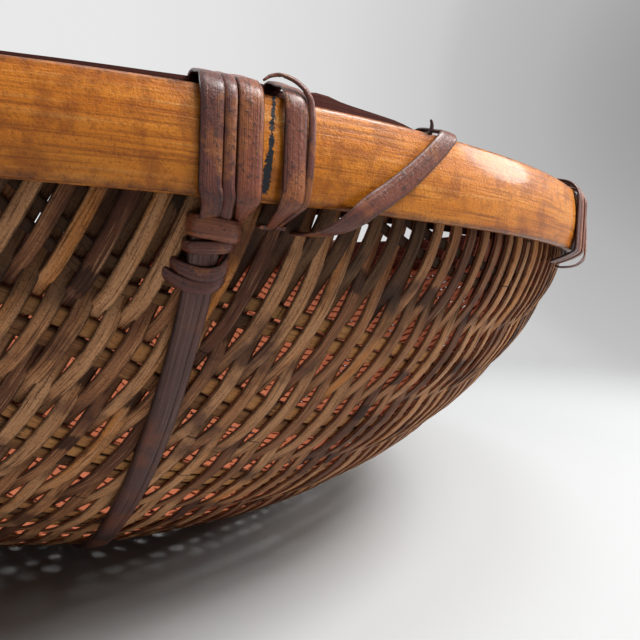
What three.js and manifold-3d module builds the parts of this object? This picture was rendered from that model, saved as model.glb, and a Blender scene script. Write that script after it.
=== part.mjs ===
// A round bowl basket woven from split bamboo, standing on three ribs that cross under it.
// Millimetres, +Z up, origin on the ground under the middle of the bowl, -Y at the front.
import * as THREE from 'three';
import { mergeVertices } from 'three/addons/utils/BufferGeometryUtils.js';
import Module from 'manifold-3d';

// Driving sizes of the rim
const hoopOuterRadius = 300;
const hoopHeight = 24.7;
const hoopThickness = 5;
const innerHoopThickness = 4.5;
const innerHoopRise = 2.6;
const hoopEdge = 1;
const coreThickness = 4.3;
const lapLength = 90;
const lapTip = 1.4;
const lapGap = 0.5;

// Driving sizes of the bowl
const bowlDepth = 148.2;
const bottomRadius = 122;
const wallThickness = 2.6;
const bowlRoundnessShare = 1.45;

// Driving sizes of the ribs
const ribWidth = 7.5;
const ribThickness = 3;
const ribCount = 3;
const ribSide = 34;
const ribEase = 24;
const crossingOutset = 112;

// Driving sizes of the strands that lash the rim and tie the ribs
const strandWidth = 5;
const strandThickness = 1.2;
const strandSpace = 0.7;
const strandCrownShare = 0.36;
const lashingBetweenTurn = 34 * Math.PI / 180;
const lashingTurns = 4;
const lashingStart = -6.6;
const lastTurnStep = 5.2;
const knotTurns = 3;
const knotDrop = 3.2;
const diagonalRun = 40;
const diagonalHook = 7;
const diagonalTuck = 3.4;

// Clearances
const seatGap = 0.5;
const ringGap = 0.6;
const coreInset = 1.8;
const weldDistance = 0.0001;

// Fineness of the faceted surfaces
const ringSteps = 72;
const bowlSteps = 10;
const ribWallSteps = 15;
const cornerSteps = 1;
const diagonalSteps = 5;

const halfTurn = Math.PI;
const fullTurn = 2 * Math.PI;
const quarterTurn = Math.PI / 2;

// Heights and radii that follow from the driving sizes
const bowlBottom = 2 * (ribThickness + seatGap);
const rimBottom = bowlBottom + bowlDepth;
const outerHoopTop = rimBottom + hoopHeight;
const innerHoopTop = outerHoopTop + innerHoopRise;
const hoopInnerRadius = hoopOuterRadius - hoopThickness;
const wallRadius = hoopInnerRadius - coreThickness - 2 * ringGap;
const wallInnerRadius = wallRadius - wallThickness;
const innerHoopOuterRadius = wallInnerRadius - ringGap;
const innerHoopInnerRadius = innerHoopOuterRadius - innerHoopThickness;
const wallTop = outerHoopTop - coreInset;
const crossingPlace = ribSide * Math.tan(Math.PI / ribCount);
const levelEnd = crossingPlace - 2 * ribWidth;
const strandPitch = strandWidth + strandSpace;
const strandLift = seatGap + strandThickness / 2;
const knotLift = 2 * seatGap + strandThickness;
const lashingEnd = lashingStart + lashingTurns * strandPitch + lastTurnStep;
const diagonalWidth = strandWidth * Math.hypot(diagonalRun, hoopHeight) / hoopHeight;
const diagonalStart = lashingEnd + (strandWidth + diagonalWidth) / 2 + strandSpace;

const amber = new THREE.MeshStandardMaterial({ color: 0xc07a38, roughness: 0.45, metalness: 0 });
const darkHoop = new THREE.MeshStandardMaterial({ color: 0x5c3528, roughness: 0.6, metalness: 0 });
const weave = new THREE.MeshStandardMaterial({ color: 0x7d6049, roughness: 0.75, metalness: 0 });
const ribSkin = new THREE.MeshStandardMaterial({ color: 0x533d3d, roughness: 0.55, metalness: 0 });
const strand = new THREE.MeshStandardMaterial({ color: 0x6a4238, roughness: 0.5, metalness: 0 });

const wasm = await Module();
wasm.setup();

const basket = new THREE.Group();

// Adds one named piece, turned about the bowl's axis
function addPiece(name, geometry, material, turn = 0) {
  const mesh = new THREE.Mesh(geometry, material);
  mesh.name = name;
  mesh.rotation.z = turn;
  basket.add(mesh);
}

// A closed profile of [radius, height] points turned about the Z axis
function turnedRing(profile) {
  const points = [...profile, profile[0]].map(([radius, height]) => new THREE.Vector2(radius, height));
  const geometry = new THREE.LatheGeometry(points, ringSteps);
  geometry.rotateX(quarterTurn);
  return geometry;
}

// A closed skin over a row of rings that all have the same number of points
function skinOverRings(rings) {
  const sides = rings[0].length;
  const positions = rings.flat().flatMap((point) => [point.x, point.y, point.z]);
  const faces = [];
  for (let ring = 0; ring + 1 < rings.length; ring++) {
    for (let side = 0; side < sides; side++) {
      const next = (side + 1) % sides;
      const here = ring * sides;
      const there = here + sides;
      faces.push(here + side, here + next, there + next);
      faces.push(here + side, there + next, there + side);
    }
  }
  const last = (rings.length - 1) * sides;
  for (let side = 1; side + 1 < sides; side++) {
    faces.push(0, side + 1, side);
    faces.push(last, last + side, last + side + 1);
  }
  const geometry = new THREE.BufferGeometry();
  geometry.setAttribute('position', new THREE.Float32BufferAttribute(positions, 3));
  geometry.setIndex(faces);
  geometry.computeVertexNormals();
  return geometry;
}

function onCircle(radius, angle, height) {
  return new THREE.Vector3(radius * Math.cos(angle), radius * Math.sin(angle), height);
}

// The bowl's outer profile: share 0 is under the rim, share 1 is the edge of the flat bottom
function bowlProfile(share) {
  const angle = share * quarterTurn;
  const power = 2 / bowlRoundnessShare;
  const radius = bottomRadius + (wallRadius - bottomRadius) * Math.cos(angle) ** power;
  const height = rimBottom - bowlDepth * Math.sin(angle) ** power;
  return { radius, height };
}

// The profile's outward direction, as parts along the radius and along Z
function bowlNormal(share) {
  const nudge = 0.001;
  const above = bowlProfile(Math.max(share - nudge, 0));
  const below = bowlProfile(Math.min(share + nudge, 1));
  const along = Math.hypot(above.radius - below.radius, above.height - below.height);
  return { radius: (above.height - below.height) / along, height: -(above.radius - below.radius) / along };
}

// Woven body: one shell with the weave's outer shape, thickness and open mouth.
// Each lashing passes through it under the rim, where the weave leaves a slot.
function wovenBody(slotTurns) {
  const outside = [[0, bowlBottom]];
  const inside = [[0, bowlBottom + wallThickness]];
  for (let step = bowlSteps; step >= 0; step--) {
    const share = step / bowlSteps;
    const point = bowlProfile(share);
    const normal = share === 1 ? { radius: 0, height: -1 } : bowlNormal(share);
    outside.push([point.radius, point.height]);
    inside.push([point.radius - wallThickness * normal.radius, point.height - wallThickness * normal.height]);
  }
  outside.push([wallRadius, wallTop]);
  inside.push([wallInnerRadius, wallTop]);
  const profile = [...outside, ...inside.reverse()];
  const points = profile.map(([radius, height]) => new THREE.Vector2(radius, height));
  const shell = new THREE.LatheGeometry(points, ringSteps);
  shell.rotateX(quarterTurn);

  const slotHeight = strandThickness + 2 * seatGap;
  const slotWidth = lashingEnd - lashingStart + strandWidth + 2 * seatGap;
  const slotReach = wallThickness + 4 * ringGap;
  let solid = toSolid(shell);
  for (const turn of slotTurns) {
    const slot = new THREE.BoxGeometry(slotReach, slotWidth, slotHeight);
    const middle = (lashingStart + lashingEnd) / 2;
    slot.translate(wallRadius - wallThickness / 2, middle, rimBottom - slotHeight / 2);
    slot.rotateZ(turn);
    solid = solid.subtract(toSolid(slot));
  }
  return fromSolid(solid);
}

function toSolid(geometry) {
  const bare = geometry.clone();
  bare.deleteAttribute('normal');
  bare.deleteAttribute('uv');
  const merged = mergeVertices(bare, weldDistance);
  const corners = merged.index.array;
  const triVerts = [];
  for (let face = 0; face < corners.length; face += 3) {
    const [a, b, c] = [corners[face], corners[face + 1], corners[face + 2]];
    if (a !== b && b !== c && c !== a) {
      triVerts.push(a, b, c);
    }
  }
  return new wasm.Manifold(new wasm.Mesh({
    numProp: 3,
    vertProperties: new Float32Array(merged.attributes.position.array),
    triVerts: new Uint32Array(triVerts),
  }));
}

function fromSolid(solid) {
  const mesh = solid.getMesh();
  const geometry = new THREE.BufferGeometry();
  geometry.setAttribute('position', new THREE.BufferAttribute(mesh.vertProperties, 3));
  geometry.setIndex(new THREE.BufferAttribute(mesh.triVerts, 1));
  geometry.computeVertexNormals();
  return geometry;
}

// Hoop: one flat bamboo strip bent to a ring, its two thinned ends lapped over each other.
// The lap ends at lapEnd, with the outer end on top.
function lappedHoop({ outerRadius, thickness, bottom, top, lapEnd, shownOutside }) {
  const innerRadius = outerRadius - thickness;
  const lapAngle = lapLength / outerRadius;
  const start = lapEnd - lapAngle;
  const lapSteps = Math.max(2, Math.round(ringSteps * lapAngle / fullTurn));
  const seamAt = (share) => innerRadius + lapTip + (thickness - 2 * lapTip) * share;
  const spans = [];
  for (let step = 0; step <= lapSteps; step++) {
    const share = step / lapSteps;
    spans.push({ angle: start + lapAngle * share, inner: innerRadius, outer: seamAt(share) - lapGap / 2 });
  }
  for (let step = 1; step < ringSteps; step++) {
    const angle = lapEnd + (fullTurn - lapAngle) * step / ringSteps;
    spans.push({ angle, inner: innerRadius, outer: outerRadius });
  }
  for (let step = 0; step <= lapSteps; step++) {
    const share = step / lapSteps;
    const angle = start + fullTurn + lapAngle * share;
    spans.push({ angle, inner: seamAt(share) + lapGap / 2, outer: outerRadius });
  }
  const rings = spans.map(({ angle, inner, outer }) => {
    const edge = Math.min(hoopEdge, (outer - inner) / 2);
    const shown = shownOutside ? outer : inner;
    const backed = shownOutside ? inner : outer;
    const eased = shownOutside ? outer - edge : inner + edge;
    const section = [
      [backed, bottom],
      [eased, bottom],
      [shown, bottom + edge],
      [shown, top - edge],
      [eased, top],
      [backed, top],
    ];
    const corners = shownOutside ? section : section.reverse();
    return corners.map(([radius, height]) => onCircle(radius, angle, height));
  });
  return skinOverRings(rings.reverse());
}

// The way of a tight strand round a convex section: its corner points in order, anticlockwise.
// Each stop holds the two section places a and b, and the outward direction there.
function waysRound(hull, lift) {
  const stops = [];
  hull.forEach(([a, b], corner) => {
    const [beforeA, beforeB] = hull[(corner + hull.length - 1) % hull.length];
    const [afterA, afterB] = hull[(corner + 1) % hull.length];
    const from = Math.atan2(b - beforeB, a - beforeA) - quarterTurn;
    let bend = Math.atan2(afterB - b, afterA - a) - quarterTurn - from;
    while (bend < 0) {
      bend += fullTurn;
    }
    for (let step = 0; step <= cornerSteps; step++) {
      const angle = from + bend * step / cornerSteps;
      const outA = Math.cos(angle);
      const outB = Math.sin(angle);
      stops.push({ a: a + lift * outA, b: b + lift * outB, outA, outB });
    }
  });
  return stops;
}

// A flat strand with a low crown on both faces, laid along the stops
function flatStrand(stops, place, width) {
  const crown = width * strandCrownShare;
  const half = strandThickness / 2;
  const section = [
    [-width / 2, 0],
    [-crown, half],
    [crown, half],
    [width / 2, 0],
    [crown, -half],
    [-crown, -half],
  ];
  return stops.map((stop) => section.map(([across, out]) => (
    place(stop.a + out * stop.outA, stop.b + out * stop.outB, stop.along + across)
  )));
}

// A strand wound round a section several times in one unbroken length
function woundStops(hull, turns, alongAt) {
  const once = waysRound(hull, strandLift);
  const runs = [0];
  once.forEach((stop, index) => {
    const next = once[(index + 1) % once.length];
    runs.push(runs[index] + Math.hypot(next.a - stop.a, next.b - stop.b));
  });
  const stops = [];
  for (let step = 0; step <= turns * once.length; step++) {
    const index = step % once.length;
    const turn = (step - index) / once.length + runs[index] / runs[once.length];
    stops.push({ ...once[index], along: alongAt(turn) });
  }
  return { stops, stepsPerTurn: once.length };
}

// The least distance between points of one strand that lie a half turn or more apart
function leastSelfGap(rings, stepsPerTurn) {
  let least = Infinity;
  for (let first = 0; first < rings.length; first++) {
    for (let second = first + Math.ceil(stepsPerTurn / 2); second < rings.length; second++) {
      for (const point of rings[first]) {
        for (const other of rings[second]) {
          least = Math.min(least, point.distanceTo(other));
        }
      }
    }
  }
  return least;
}

// Rim lashing: a flat strand wound round both hoops and what they clamp, close together
// at first and with a wider step before its last turn
function rimLashing() {
  const hull = [
    [innerHoopInnerRadius, rimBottom],
    [hoopOuterRadius, rimBottom],
    [hoopOuterRadius, outerHoopTop],
    [innerHoopOuterRadius, innerHoopTop],
    [innerHoopInnerRadius, innerHoopTop],
  ];
  const lastTurn = lashingTurns - 1;
  const alongAt = (turn) => {
    const lateShare = Math.min(Math.max(turn - lastTurn + 0.5, 0), 1);
    return lashingStart + strandPitch * turn + lastTurnStep * lateShare;
  };
  const { stops, stepsPerTurn } = woundStops(hull, lashingTurns, alongAt);
  const rings = flatStrand(stops, placeOnRim, strandWidth);
  console.log(`rim lashing, least gap to itself ${leastSelfGap(rings, stepsPerTurn).toFixed(2)} mm`);
  return skinOverRings(rings);
}

function placeOnRim(radius, height, along) {
  return onCircle(radius, along / hoopOuterRadius, height);
}

// Diagonal strand: the lashing's last length, from under the band across its face and over
// the rim, its end tucked down inside
function diagonalStrand() {
  const outer = hoopOuterRadius + strandLift;
  const under = rimBottom - strandLift;
  const topSlope = Math.atan2(innerHoopRise, hoopOuterRadius - innerHoopOuterRadius);
  const stops = [{ a: hoopOuterRadius - diagonalTuck, b: under, outA: 0, outB: -1, climb: 0 }];
  const addCorner = (a, b, from, to, climb) => {
    for (let step = 0; step <= cornerSteps; step++) {
      const angle = from + (to - from) * step / cornerSteps;
      const outA = Math.cos(angle);
      const outB = Math.sin(angle);
      stops.push({ a: a + strandLift * outA, b: b + strandLift * outB, outA, outB, climb });
    }
  };
  addCorner(hoopOuterRadius, rimBottom, -quarterTurn, 0, 0);
  for (let step = 1; step < diagonalSteps; step++) {
    const climb = step / diagonalSteps;
    stops.push({ a: outer, b: rimBottom + hoopHeight * climb, outA: 1, outB: 0, climb });
  }
  addCorner(hoopOuterRadius, outerHoopTop, 0, quarterTurn - topSlope, 1);
  addCorner(innerHoopOuterRadius, innerHoopTop, quarterTurn - topSlope, quarterTurn, 1);
  addCorner(innerHoopInnerRadius, innerHoopTop, quarterTurn, halfTurn, 1);
  const tucked = { a: innerHoopInnerRadius - strandLift, b: innerHoopTop - diagonalHook };
  stops.push({ ...tucked, outA: -1, outB: 0, climb: 1 });
  for (const stop of stops) {
    stop.along = diagonalStart + diagonalRun * stop.climb;
  }
  return skinOverRings(flatStrand(stops, placeOnRim, diagonalWidth));
}

// One end of a rib, from under the rim down the wall to the edge of the flat bottom. Each stop
// holds its place and the direction away from the bowl.
function ribOnWall(passesBelow) {
  const topShare = shareAtHeight(rimBottom - strandThickness - 3 * seatGap);
  const wall = [];
  let run = 0;
  for (let step = 0; step <= ribWallSteps; step++) {
    const share = topShare + (1 - topShare) * step / ribWallSteps;
    const { radius, height } = bowlProfile(share);
    const outward = step === ribWallSteps ? { radius: 0, height: -1 } : bowlNormal(share);
    const angle = -quarterTurn - Math.asin(ribSide / radius);
    const surface = onCircle(radius, angle, height);
    if (wall.length > 0) {
      run += surface.distanceTo(wall[wall.length - 1].surface);
    }
    const knotLength = knotDrop + knotTurns * strandPitch;
    const eased = THREE.MathUtils.smoothstep(run, knotLength, knotLength + ribEase);
    const atKnot = (knotLift - seatGap) * (1 - eased);
    const low = THREE.MathUtils.smoothstep(-radius, -(bottomRadius + crossingOutset), -bottomRadius);
    const atCrossing = passesBelow ? (ribThickness + seatGap) * low : 0;
    const lift = seatGap + atKnot + atCrossing + ribThickness / 2;
    const normal = onCircle(outward.radius, angle, outward.height);
    const place = surface.clone().addScaledVector(normal, lift);
    wall.push({ surface, place, normal });
  }
  return wall;
}

// A rib's way: down the front wall, across the flat bottom, over one rib and then under the
// other, and up the back wall. Each stop also holds the direction across.
function ribWay() {
  const front = ribOnWall(false);
  const back = ribOnWall(true).map(({ place, normal }) => ({
    place: new THREE.Vector3(place.x, -place.y, place.z),
    normal: new THREE.Vector3(normal.x, -normal.y, normal.z),
  }));
  const level = [front, back].map((wall, index) => ({
    place: new THREE.Vector3(-ribSide, (2 * index - 1) * levelEnd, wall[ribWallSteps].place.z),
    normal: new THREE.Vector3(0, 0, -1),
  }));
  const way = [...front, ...level, ...back.reverse()];
  way.forEach((stop, index) => {
    const before = way[Math.max(index - 1, 0)].place;
    const after = way[Math.min(index + 1, way.length - 1)].place;
    const along = after.clone().sub(before).normalize();
    stop.across = along.clone().cross(stop.normal).normalize();
    stop.normal = stop.across.clone().cross(along).normalize();
    stop.run = index === 0 ? 0 : way[index - 1].run + stop.place.distanceTo(way[index - 1].place);
  });
  return way;
}

function shareAtHeight(height) {
  const power = 2 / bowlRoundnessShare;
  const depthShare = (rimBottom - height) / bowlDepth;
  return Math.asin(depthShare ** (1 / power)) / quarterTurn;
}

// Rib: a flat split bamboo, its section square to its way
function ribSolid(way) {
  const rings = way.map(({ place, normal, across }) => {
    const corners = [[-1, -1], [-1, 1], [1, 1], [1, -1]];
    return corners.map(([sideways, outward]) => place.clone()
      .addScaledVector(across, sideways * ribWidth / 2)
      .addScaledVector(normal, outward * ribThickness / 2));
  });
  return skinOverRings(rings);
}

// Rib knot: the strand's turns round the rib's end, between the rib and the weave behind it
function ribKnot(way, label) {
  const hull = [
    [-ribWidth / 2, -ribThickness / 2],
    [ribWidth / 2, -ribThickness / 2],
    [ribWidth / 2, ribThickness / 2],
    [-ribWidth / 2, ribThickness / 2],
  ];
  const place = (across, outward, along) => {
    let index = 1;
    while (index + 1 < way.length && way[index].run < along) {
      index += 1;
    }
    const [from, to] = [way[index - 1], way[index]];
    const share = (along - from.run) / (to.run - from.run);
    const point = from.place.clone().lerp(to.place, share);
    point.addScaledVector(from.across.clone().lerp(to.across, share), across);
    return point.addScaledVector(from.normal.clone().lerp(to.normal, share), outward);
  };
  const alongAt = (turn) => knotDrop + strandPitch * turn;
  const { stops, stepsPerTurn } = woundStops(hull, knotTurns, alongAt);
  const rings = flatStrand(stops, place, strandWidth);
  console.log(`${label}, least gap to itself ${leastSelfGap(rings, stepsPerTurn).toFixed(2)} mm`);
  return skinOverRings(rings);
}

// The same way read from its other end
function fromOtherEnd(way) {
  const length = way[way.length - 1].run;
  return [...way].reverse().map((stop) => ({
    ...stop,
    across: stop.across.clone().negate(),
    run: length - stop.run,
  }));
}

// The ribs run beside the bowl's middle, a third of a turn apart, each under the one before it.
// The rim is lashed at both ends of every rib, a and b, and once more between them, at c.
const firstStation = -quarterTurn - Math.asin(ribSide / wallRadius);
const lashing = rimLashing();
const diagonal = diagonalStrand();
const way = ribWay();
const rib = ribSolid(way);
const frontKnot = ribKnot(way, 'front rib knot');
const backKnot = ribKnot(fromOtherEnd(way), 'back rib knot');
const lashings = { a: firstStation, b: -firstStation, c: firstStation + lashingBetweenTurn };
const slotTurns = [];

for (let number = 1; number <= ribCount; number++) {
  const turn = fullTurn * (number - 1) / ribCount;
  addPiece(`rib_${number}`, rib, ribSkin, turn);
  addPiece(`rib_knot_${number}a`, frontKnot, strand, turn);
  addPiece(`rib_knot_${number}b`, backKnot, strand, turn);
  for (const [mark, side] of Object.entries(lashings)) {
    addPiece(`rim_lashing_${number}${mark}`, lashing, strand, turn + side);
    addPiece(`diagonal_strand_${number}${mark}`, diagonal, strand, turn + side);
    slotTurns.push(turn + side);
  }
}

addPiece('woven_body', wovenBody(slotTurns), weave);

// Rim core: the ends of the woven strips, folded over and clamped outside the wall
addPiece('rim_core', turnedRing([
  [wallRadius + ringGap, rimBottom + coreInset],
  [hoopInnerRadius - ringGap, rimBottom + coreInset],
  [hoopInnerRadius - ringGap, wallTop],
  [wallRadius + ringGap, wallTop],
]), weave);

addPiece('outer_hoop', lappedHoop({
  outerRadius: hoopOuterRadius,
  thickness: hoopThickness,
  bottom: rimBottom,
  top: outerHoopTop,
  lapEnd: firstStation + (lashingEnd - strandPitch) / hoopOuterRadius,
  shownOutside: true,
}), amber);

addPiece('inner_hoop', lappedHoop({
  outerRadius: innerHoopOuterRadius,
  thickness: innerHoopThickness,
  bottom: rimBottom,
  top: innerHoopTop,
  lapEnd: firstStation + halfTurn,
  shownOutside: false,
}), darkHoop);

export default basket;
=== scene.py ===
import math

import bpy
import numpy as np
from mathutils import Matrix, Vector


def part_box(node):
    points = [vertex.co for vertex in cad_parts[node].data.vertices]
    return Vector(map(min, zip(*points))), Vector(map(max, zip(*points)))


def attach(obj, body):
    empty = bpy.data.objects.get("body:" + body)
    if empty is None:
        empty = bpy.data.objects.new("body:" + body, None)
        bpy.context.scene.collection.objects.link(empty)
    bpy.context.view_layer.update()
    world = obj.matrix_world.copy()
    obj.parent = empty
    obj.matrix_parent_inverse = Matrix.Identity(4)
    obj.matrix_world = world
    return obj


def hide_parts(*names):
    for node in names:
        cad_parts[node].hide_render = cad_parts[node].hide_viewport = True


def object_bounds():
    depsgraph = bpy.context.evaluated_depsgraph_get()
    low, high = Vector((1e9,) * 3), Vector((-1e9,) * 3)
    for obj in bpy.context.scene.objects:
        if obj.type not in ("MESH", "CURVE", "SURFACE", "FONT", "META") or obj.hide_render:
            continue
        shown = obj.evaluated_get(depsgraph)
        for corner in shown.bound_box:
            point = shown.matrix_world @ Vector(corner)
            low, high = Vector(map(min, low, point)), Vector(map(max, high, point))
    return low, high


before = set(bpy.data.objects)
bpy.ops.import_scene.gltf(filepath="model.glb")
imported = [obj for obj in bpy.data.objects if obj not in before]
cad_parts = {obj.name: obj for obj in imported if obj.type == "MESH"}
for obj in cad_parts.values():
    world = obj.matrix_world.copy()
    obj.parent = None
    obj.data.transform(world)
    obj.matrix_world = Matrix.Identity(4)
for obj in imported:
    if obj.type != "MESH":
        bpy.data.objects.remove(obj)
cad_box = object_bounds()
scene = bpy.context.scene
scene.view_settings.view_transform = "Standard"

# Camera
# The basket is seen from close by and from a little under its rim, so that the hoop runs
# across the picture and the wall curves away below it.
CAMERA_DISTANCE = 0.4366
CAMERA_AZIMUTH = math.radians(-101.8)
CAMERA_HEIGHT = 0.1358
CAMERA_HEADING = math.radians(58.1)
CAMERA_PITCH = math.radians(3.29)
CAMERA_ROLL = math.radians(2.32)
CAMERA_LENS = 33.70
CAMERA_SENSOR = 36.0
CAMERA_NEAR = 0.01


def add_camera():
    ahead = Vector((math.cos(CAMERA_HEADING), math.sin(CAMERA_HEADING), 0.0))
    side = Vector((math.sin(CAMERA_HEADING), -math.cos(CAMERA_HEADING), 0.0))
    up = Vector((0.0, 0.0, 1.0))
    looking = ahead * math.cos(CAMERA_PITCH) - up * math.sin(CAMERA_PITCH)
    head = ahead * math.sin(CAMERA_PITCH) + up * math.cos(CAMERA_PITCH)
    right = side * math.cos(CAMERA_ROLL) + head * math.sin(CAMERA_ROLL)
    above = head * math.cos(CAMERA_ROLL) - side * math.sin(CAMERA_ROLL)
    facing = Matrix((right, above, -looking)).transposed()
    place = Vector((
        CAMERA_DISTANCE * math.cos(CAMERA_AZIMUTH),
        CAMERA_DISTANCE * math.sin(CAMERA_AZIMUTH),
        CAMERA_HEIGHT,
    ))
    camera = bpy.data.objects.new("view_camera", bpy.data.cameras.new("view_camera"))
    camera.data.lens = CAMERA_LENS
    camera.data.sensor_width = CAMERA_SENSOR
    camera.data.clip_start = CAMERA_NEAR
    camera.matrix_world = Matrix.Translation(place) @ facing.to_4x4()
    scene.collection.objects.link(camera)
    scene.camera = camera


add_camera()

# Floor, backdrop and lamps
# A plain pale floor that fades into a pale backdrop, a soft key lamp from the right, and
# weaker soft lamps overhead, in front, behind and low at the right, which glances off the hoop.
FLOOR_SIZE = 6.0
FLOOR_GAP = 0.0002
FLOOR_COLOUR = (0.488, 0.500, 0.508, 1.0)
FLOOR_ROUGHNESS = 0.85
FLOOR_FADE = (0.5, 1.2)
# The backdrop is darkest in one direction: shade against the cosine of the angle from it.
BACKDROP_DARK_HEADING = math.radians(24.0)
BACKDROP_DARK_HEIGHT = math.radians(16.0)
BACKDROP_STEPS = (
    (0.0, 0.82), (0.62, 0.81), (0.75, 0.77), (0.85, 0.70),
    (0.915, 0.60), (0.93, 0.53), (0.969, 0.45), (1.0, 0.31),
)
# Below the horizon it turns into the floor's own shade between these two sines.
BACKDROP_FOOT_SHADE = 0.80
BACKDROP_FOOT_FADE = (-0.09, -0.22)
ROOM_COLOUR = (1.0, 0.99, 0.97, 1.0)
ROOM_LIGHT = 0.025
# Each lamp: name, heading in degrees, height, distance and size in metres, watts and colour.
LAMPS = (
    ("right_softbox", -43, 1.48, 1.22, 0.60, 32.5, (1.0, 0.985, 0.965)),
    ("overhead_softbox", -94, 1.55, 0.45, 0.60, 6.0, (0.97, 0.985, 1.0)),
    ("front_softbox", -66, 1.12, 0.88, 0.50, 9.0, (1.0, 0.99, 0.98)),
    ("side_softbox", -23, 0.80, 1.52, 0.52, 8.5, (1.0, 0.99, 0.98)),
    ("back_softbox", 140, 1.10, 1.45, 0.90, 9.0, (0.98, 0.99, 1.0)),
)


def floor_material():
    material = bpy.data.materials.new("pale_floor")
    material.use_nodes = True
    nodes = material.node_tree.nodes
    links = material.node_tree.links
    shader = nodes["Principled BSDF"]
    shader.inputs["Base Color"].default_value = FLOOR_COLOUR
    shader.inputs["Roughness"].default_value = FLOOR_ROUGHNESS
    place = nodes.new("ShaderNodeTexCoord")
    away = nodes.new("ShaderNodeVectorMath")
    away.operation = "LENGTH"
    links.new(place.outputs["Object"], away.inputs[0])
    fade = nodes.new("ShaderNodeMapRange")
    fade.interpolation_type = "SMOOTHSTEP"
    fade.inputs["From Min"].default_value = FLOOR_FADE[0]
    fade.inputs["From Max"].default_value = FLOOR_FADE[1]
    links.new(away.outputs["Value"], fade.inputs["Value"])
    clear = nodes.new("ShaderNodeBsdfTransparent")
    mix = nodes.new("ShaderNodeMixShader")
    links.new(fade.outputs[0], mix.inputs[0])
    links.new(shader.outputs[0], mix.inputs[1])
    links.new(clear.outputs[0], mix.inputs[2])
    links.new(mix.outputs[0], nodes["Material Output"].inputs["Surface"])
    return material


def add_floor():
    half = FLOOR_SIZE / 2
    mesh = bpy.data.meshes.new("floor")
    corners = [(-half, -half, 0.0), (half, -half, 0.0), (half, half, 0.0), (-half, half, 0.0)]
    mesh.from_pydata(corners, [], [(0, 1, 2, 3)])
    mesh.materials.append(floor_material())
    floor = bpy.data.objects.new("floor", mesh)
    floor.location.z = cad_box[0].z - FLOOR_GAP
    scene.collection.objects.link(floor)


def add_lamp(name, azimuth, height, distance, size, power, colour):
    angle = math.radians(azimuth)
    lamp = bpy.data.objects.new(name, bpy.data.lights.new(name, "AREA"))
    lamp.data.shape = "DISK"
    lamp.data.size = size
    lamp.data.energy = power
    lamp.data.color = colour
    lamp.location = (distance * math.cos(angle), distance * math.sin(angle), height)
    aim = Vector((0.0, 0.0, cad_box[1].z / 2)) - lamp.location
    lamp.rotation_euler = aim.to_track_quat("-Z", "Y").to_euler()
    scene.collection.objects.link(lamp)


def add_backdrop():
    world = bpy.data.worlds.new("pale_room")
    world.use_nodes = True
    nodes = world.node_tree.nodes
    links = world.node_tree.links
    room = nodes["Background"]
    room.inputs["Color"].default_value = ROOM_COLOUR
    room.inputs["Strength"].default_value = ROOM_LIGHT
    place = nodes.new("ShaderNodeTexCoord")
    towards = nodes.new("ShaderNodeVectorMath")
    towards.operation = "DOT_PRODUCT"
    towards.inputs[1].default_value = (
        math.cos(BACKDROP_DARK_HEADING) * math.cos(BACKDROP_DARK_HEIGHT),
        math.sin(BACKDROP_DARK_HEADING) * math.cos(BACKDROP_DARK_HEIGHT),
        math.sin(BACKDROP_DARK_HEIGHT),
    )
    links.new(place.outputs["Generated"], towards.inputs[0])
    shade = nodes.new("ShaderNodeValToRGB")
    while len(shade.color_ramp.elements) < len(BACKDROP_STEPS):
        shade.color_ramp.elements.new(0.5)
    for element, (step, level) in zip(shade.color_ramp.elements, BACKDROP_STEPS):
        element.position = step
        element.color = (level, level, level, 1.0)
    links.new(towards.outputs["Value"], shade.inputs[0])
    split = nodes.new("ShaderNodeSeparateXYZ")
    links.new(place.outputs["Generated"], split.inputs[0])
    foot = nodes.new("ShaderNodeMapRange")
    foot.interpolation_type = "SMOOTHSTEP"
    foot.inputs["From Min"].default_value = BACKDROP_FOOT_FADE[0]
    foot.inputs["From Max"].default_value = BACKDROP_FOOT_FADE[1]
    links.new(split.outputs["Z"], foot.inputs["Value"])
    join = nodes.new("ShaderNodeMix")
    join.data_type = "RGBA"
    links.new(foot.outputs[0], join.inputs["Factor"])
    links.new(shade.outputs[0], join.inputs["A"])
    join.inputs["B"].default_value = (*[BACKDROP_FOOT_SHADE] * 3, 1.0)
    seen = nodes.new("ShaderNodeBackground")
    links.new(join.outputs["Result"], seen.inputs["Color"])
    path = nodes.new("ShaderNodeLightPath")
    looks = path.outputs["Is Camera Ray"]
    for ray in ("Is Glossy Ray", "Is Transmission Ray"):
        either = nodes.new("ShaderNodeMath")
        either.operation = "MAXIMUM"
        links.new(looks, either.inputs[0])
        links.new(path.outputs[ray], either.inputs[1])
        looks = either.outputs[0]
    mix = nodes.new("ShaderNodeMixShader")
    links.new(looks, mix.inputs[0])
    links.new(room.outputs[0], mix.inputs[1])
    links.new(seen.outputs[0], mix.inputs[2])
    links.new(mix.outputs[0], nodes["World Output"].inputs["Surface"])
    scene.world = world


add_floor()
for lamp in LAMPS:
    add_lamp(*lamp)
add_backdrop()

# Woven body
# A mat of flat split-bamboo wefts laid close together, each passing over one bundle of stakes
# and under the next, drawn up into a round bowl with a flat bottom. Its strips show their
# brown fibre side outside and their smooth orange skin side on the lit inside.
BODY = "root"
HOOP_RADIUS = 0.300
HOOP_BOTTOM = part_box("outer_hoop")[0].z
HOOP_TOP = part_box("outer_hoop")[1].z
BOTTOM_RADIUS = 0.122
WALL_RADIUS = 0.2895
WALL_TOP = HOOP_TOP - 0.0018
BOWL_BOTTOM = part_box("woven_body")[0].z
# The wall's profile is a superellipse with this exponent.
PROFILE_EXPONENT = 1.45
PROFILE_STEPS = 400
WEAVE_DEPTH = 0.0013
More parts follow.
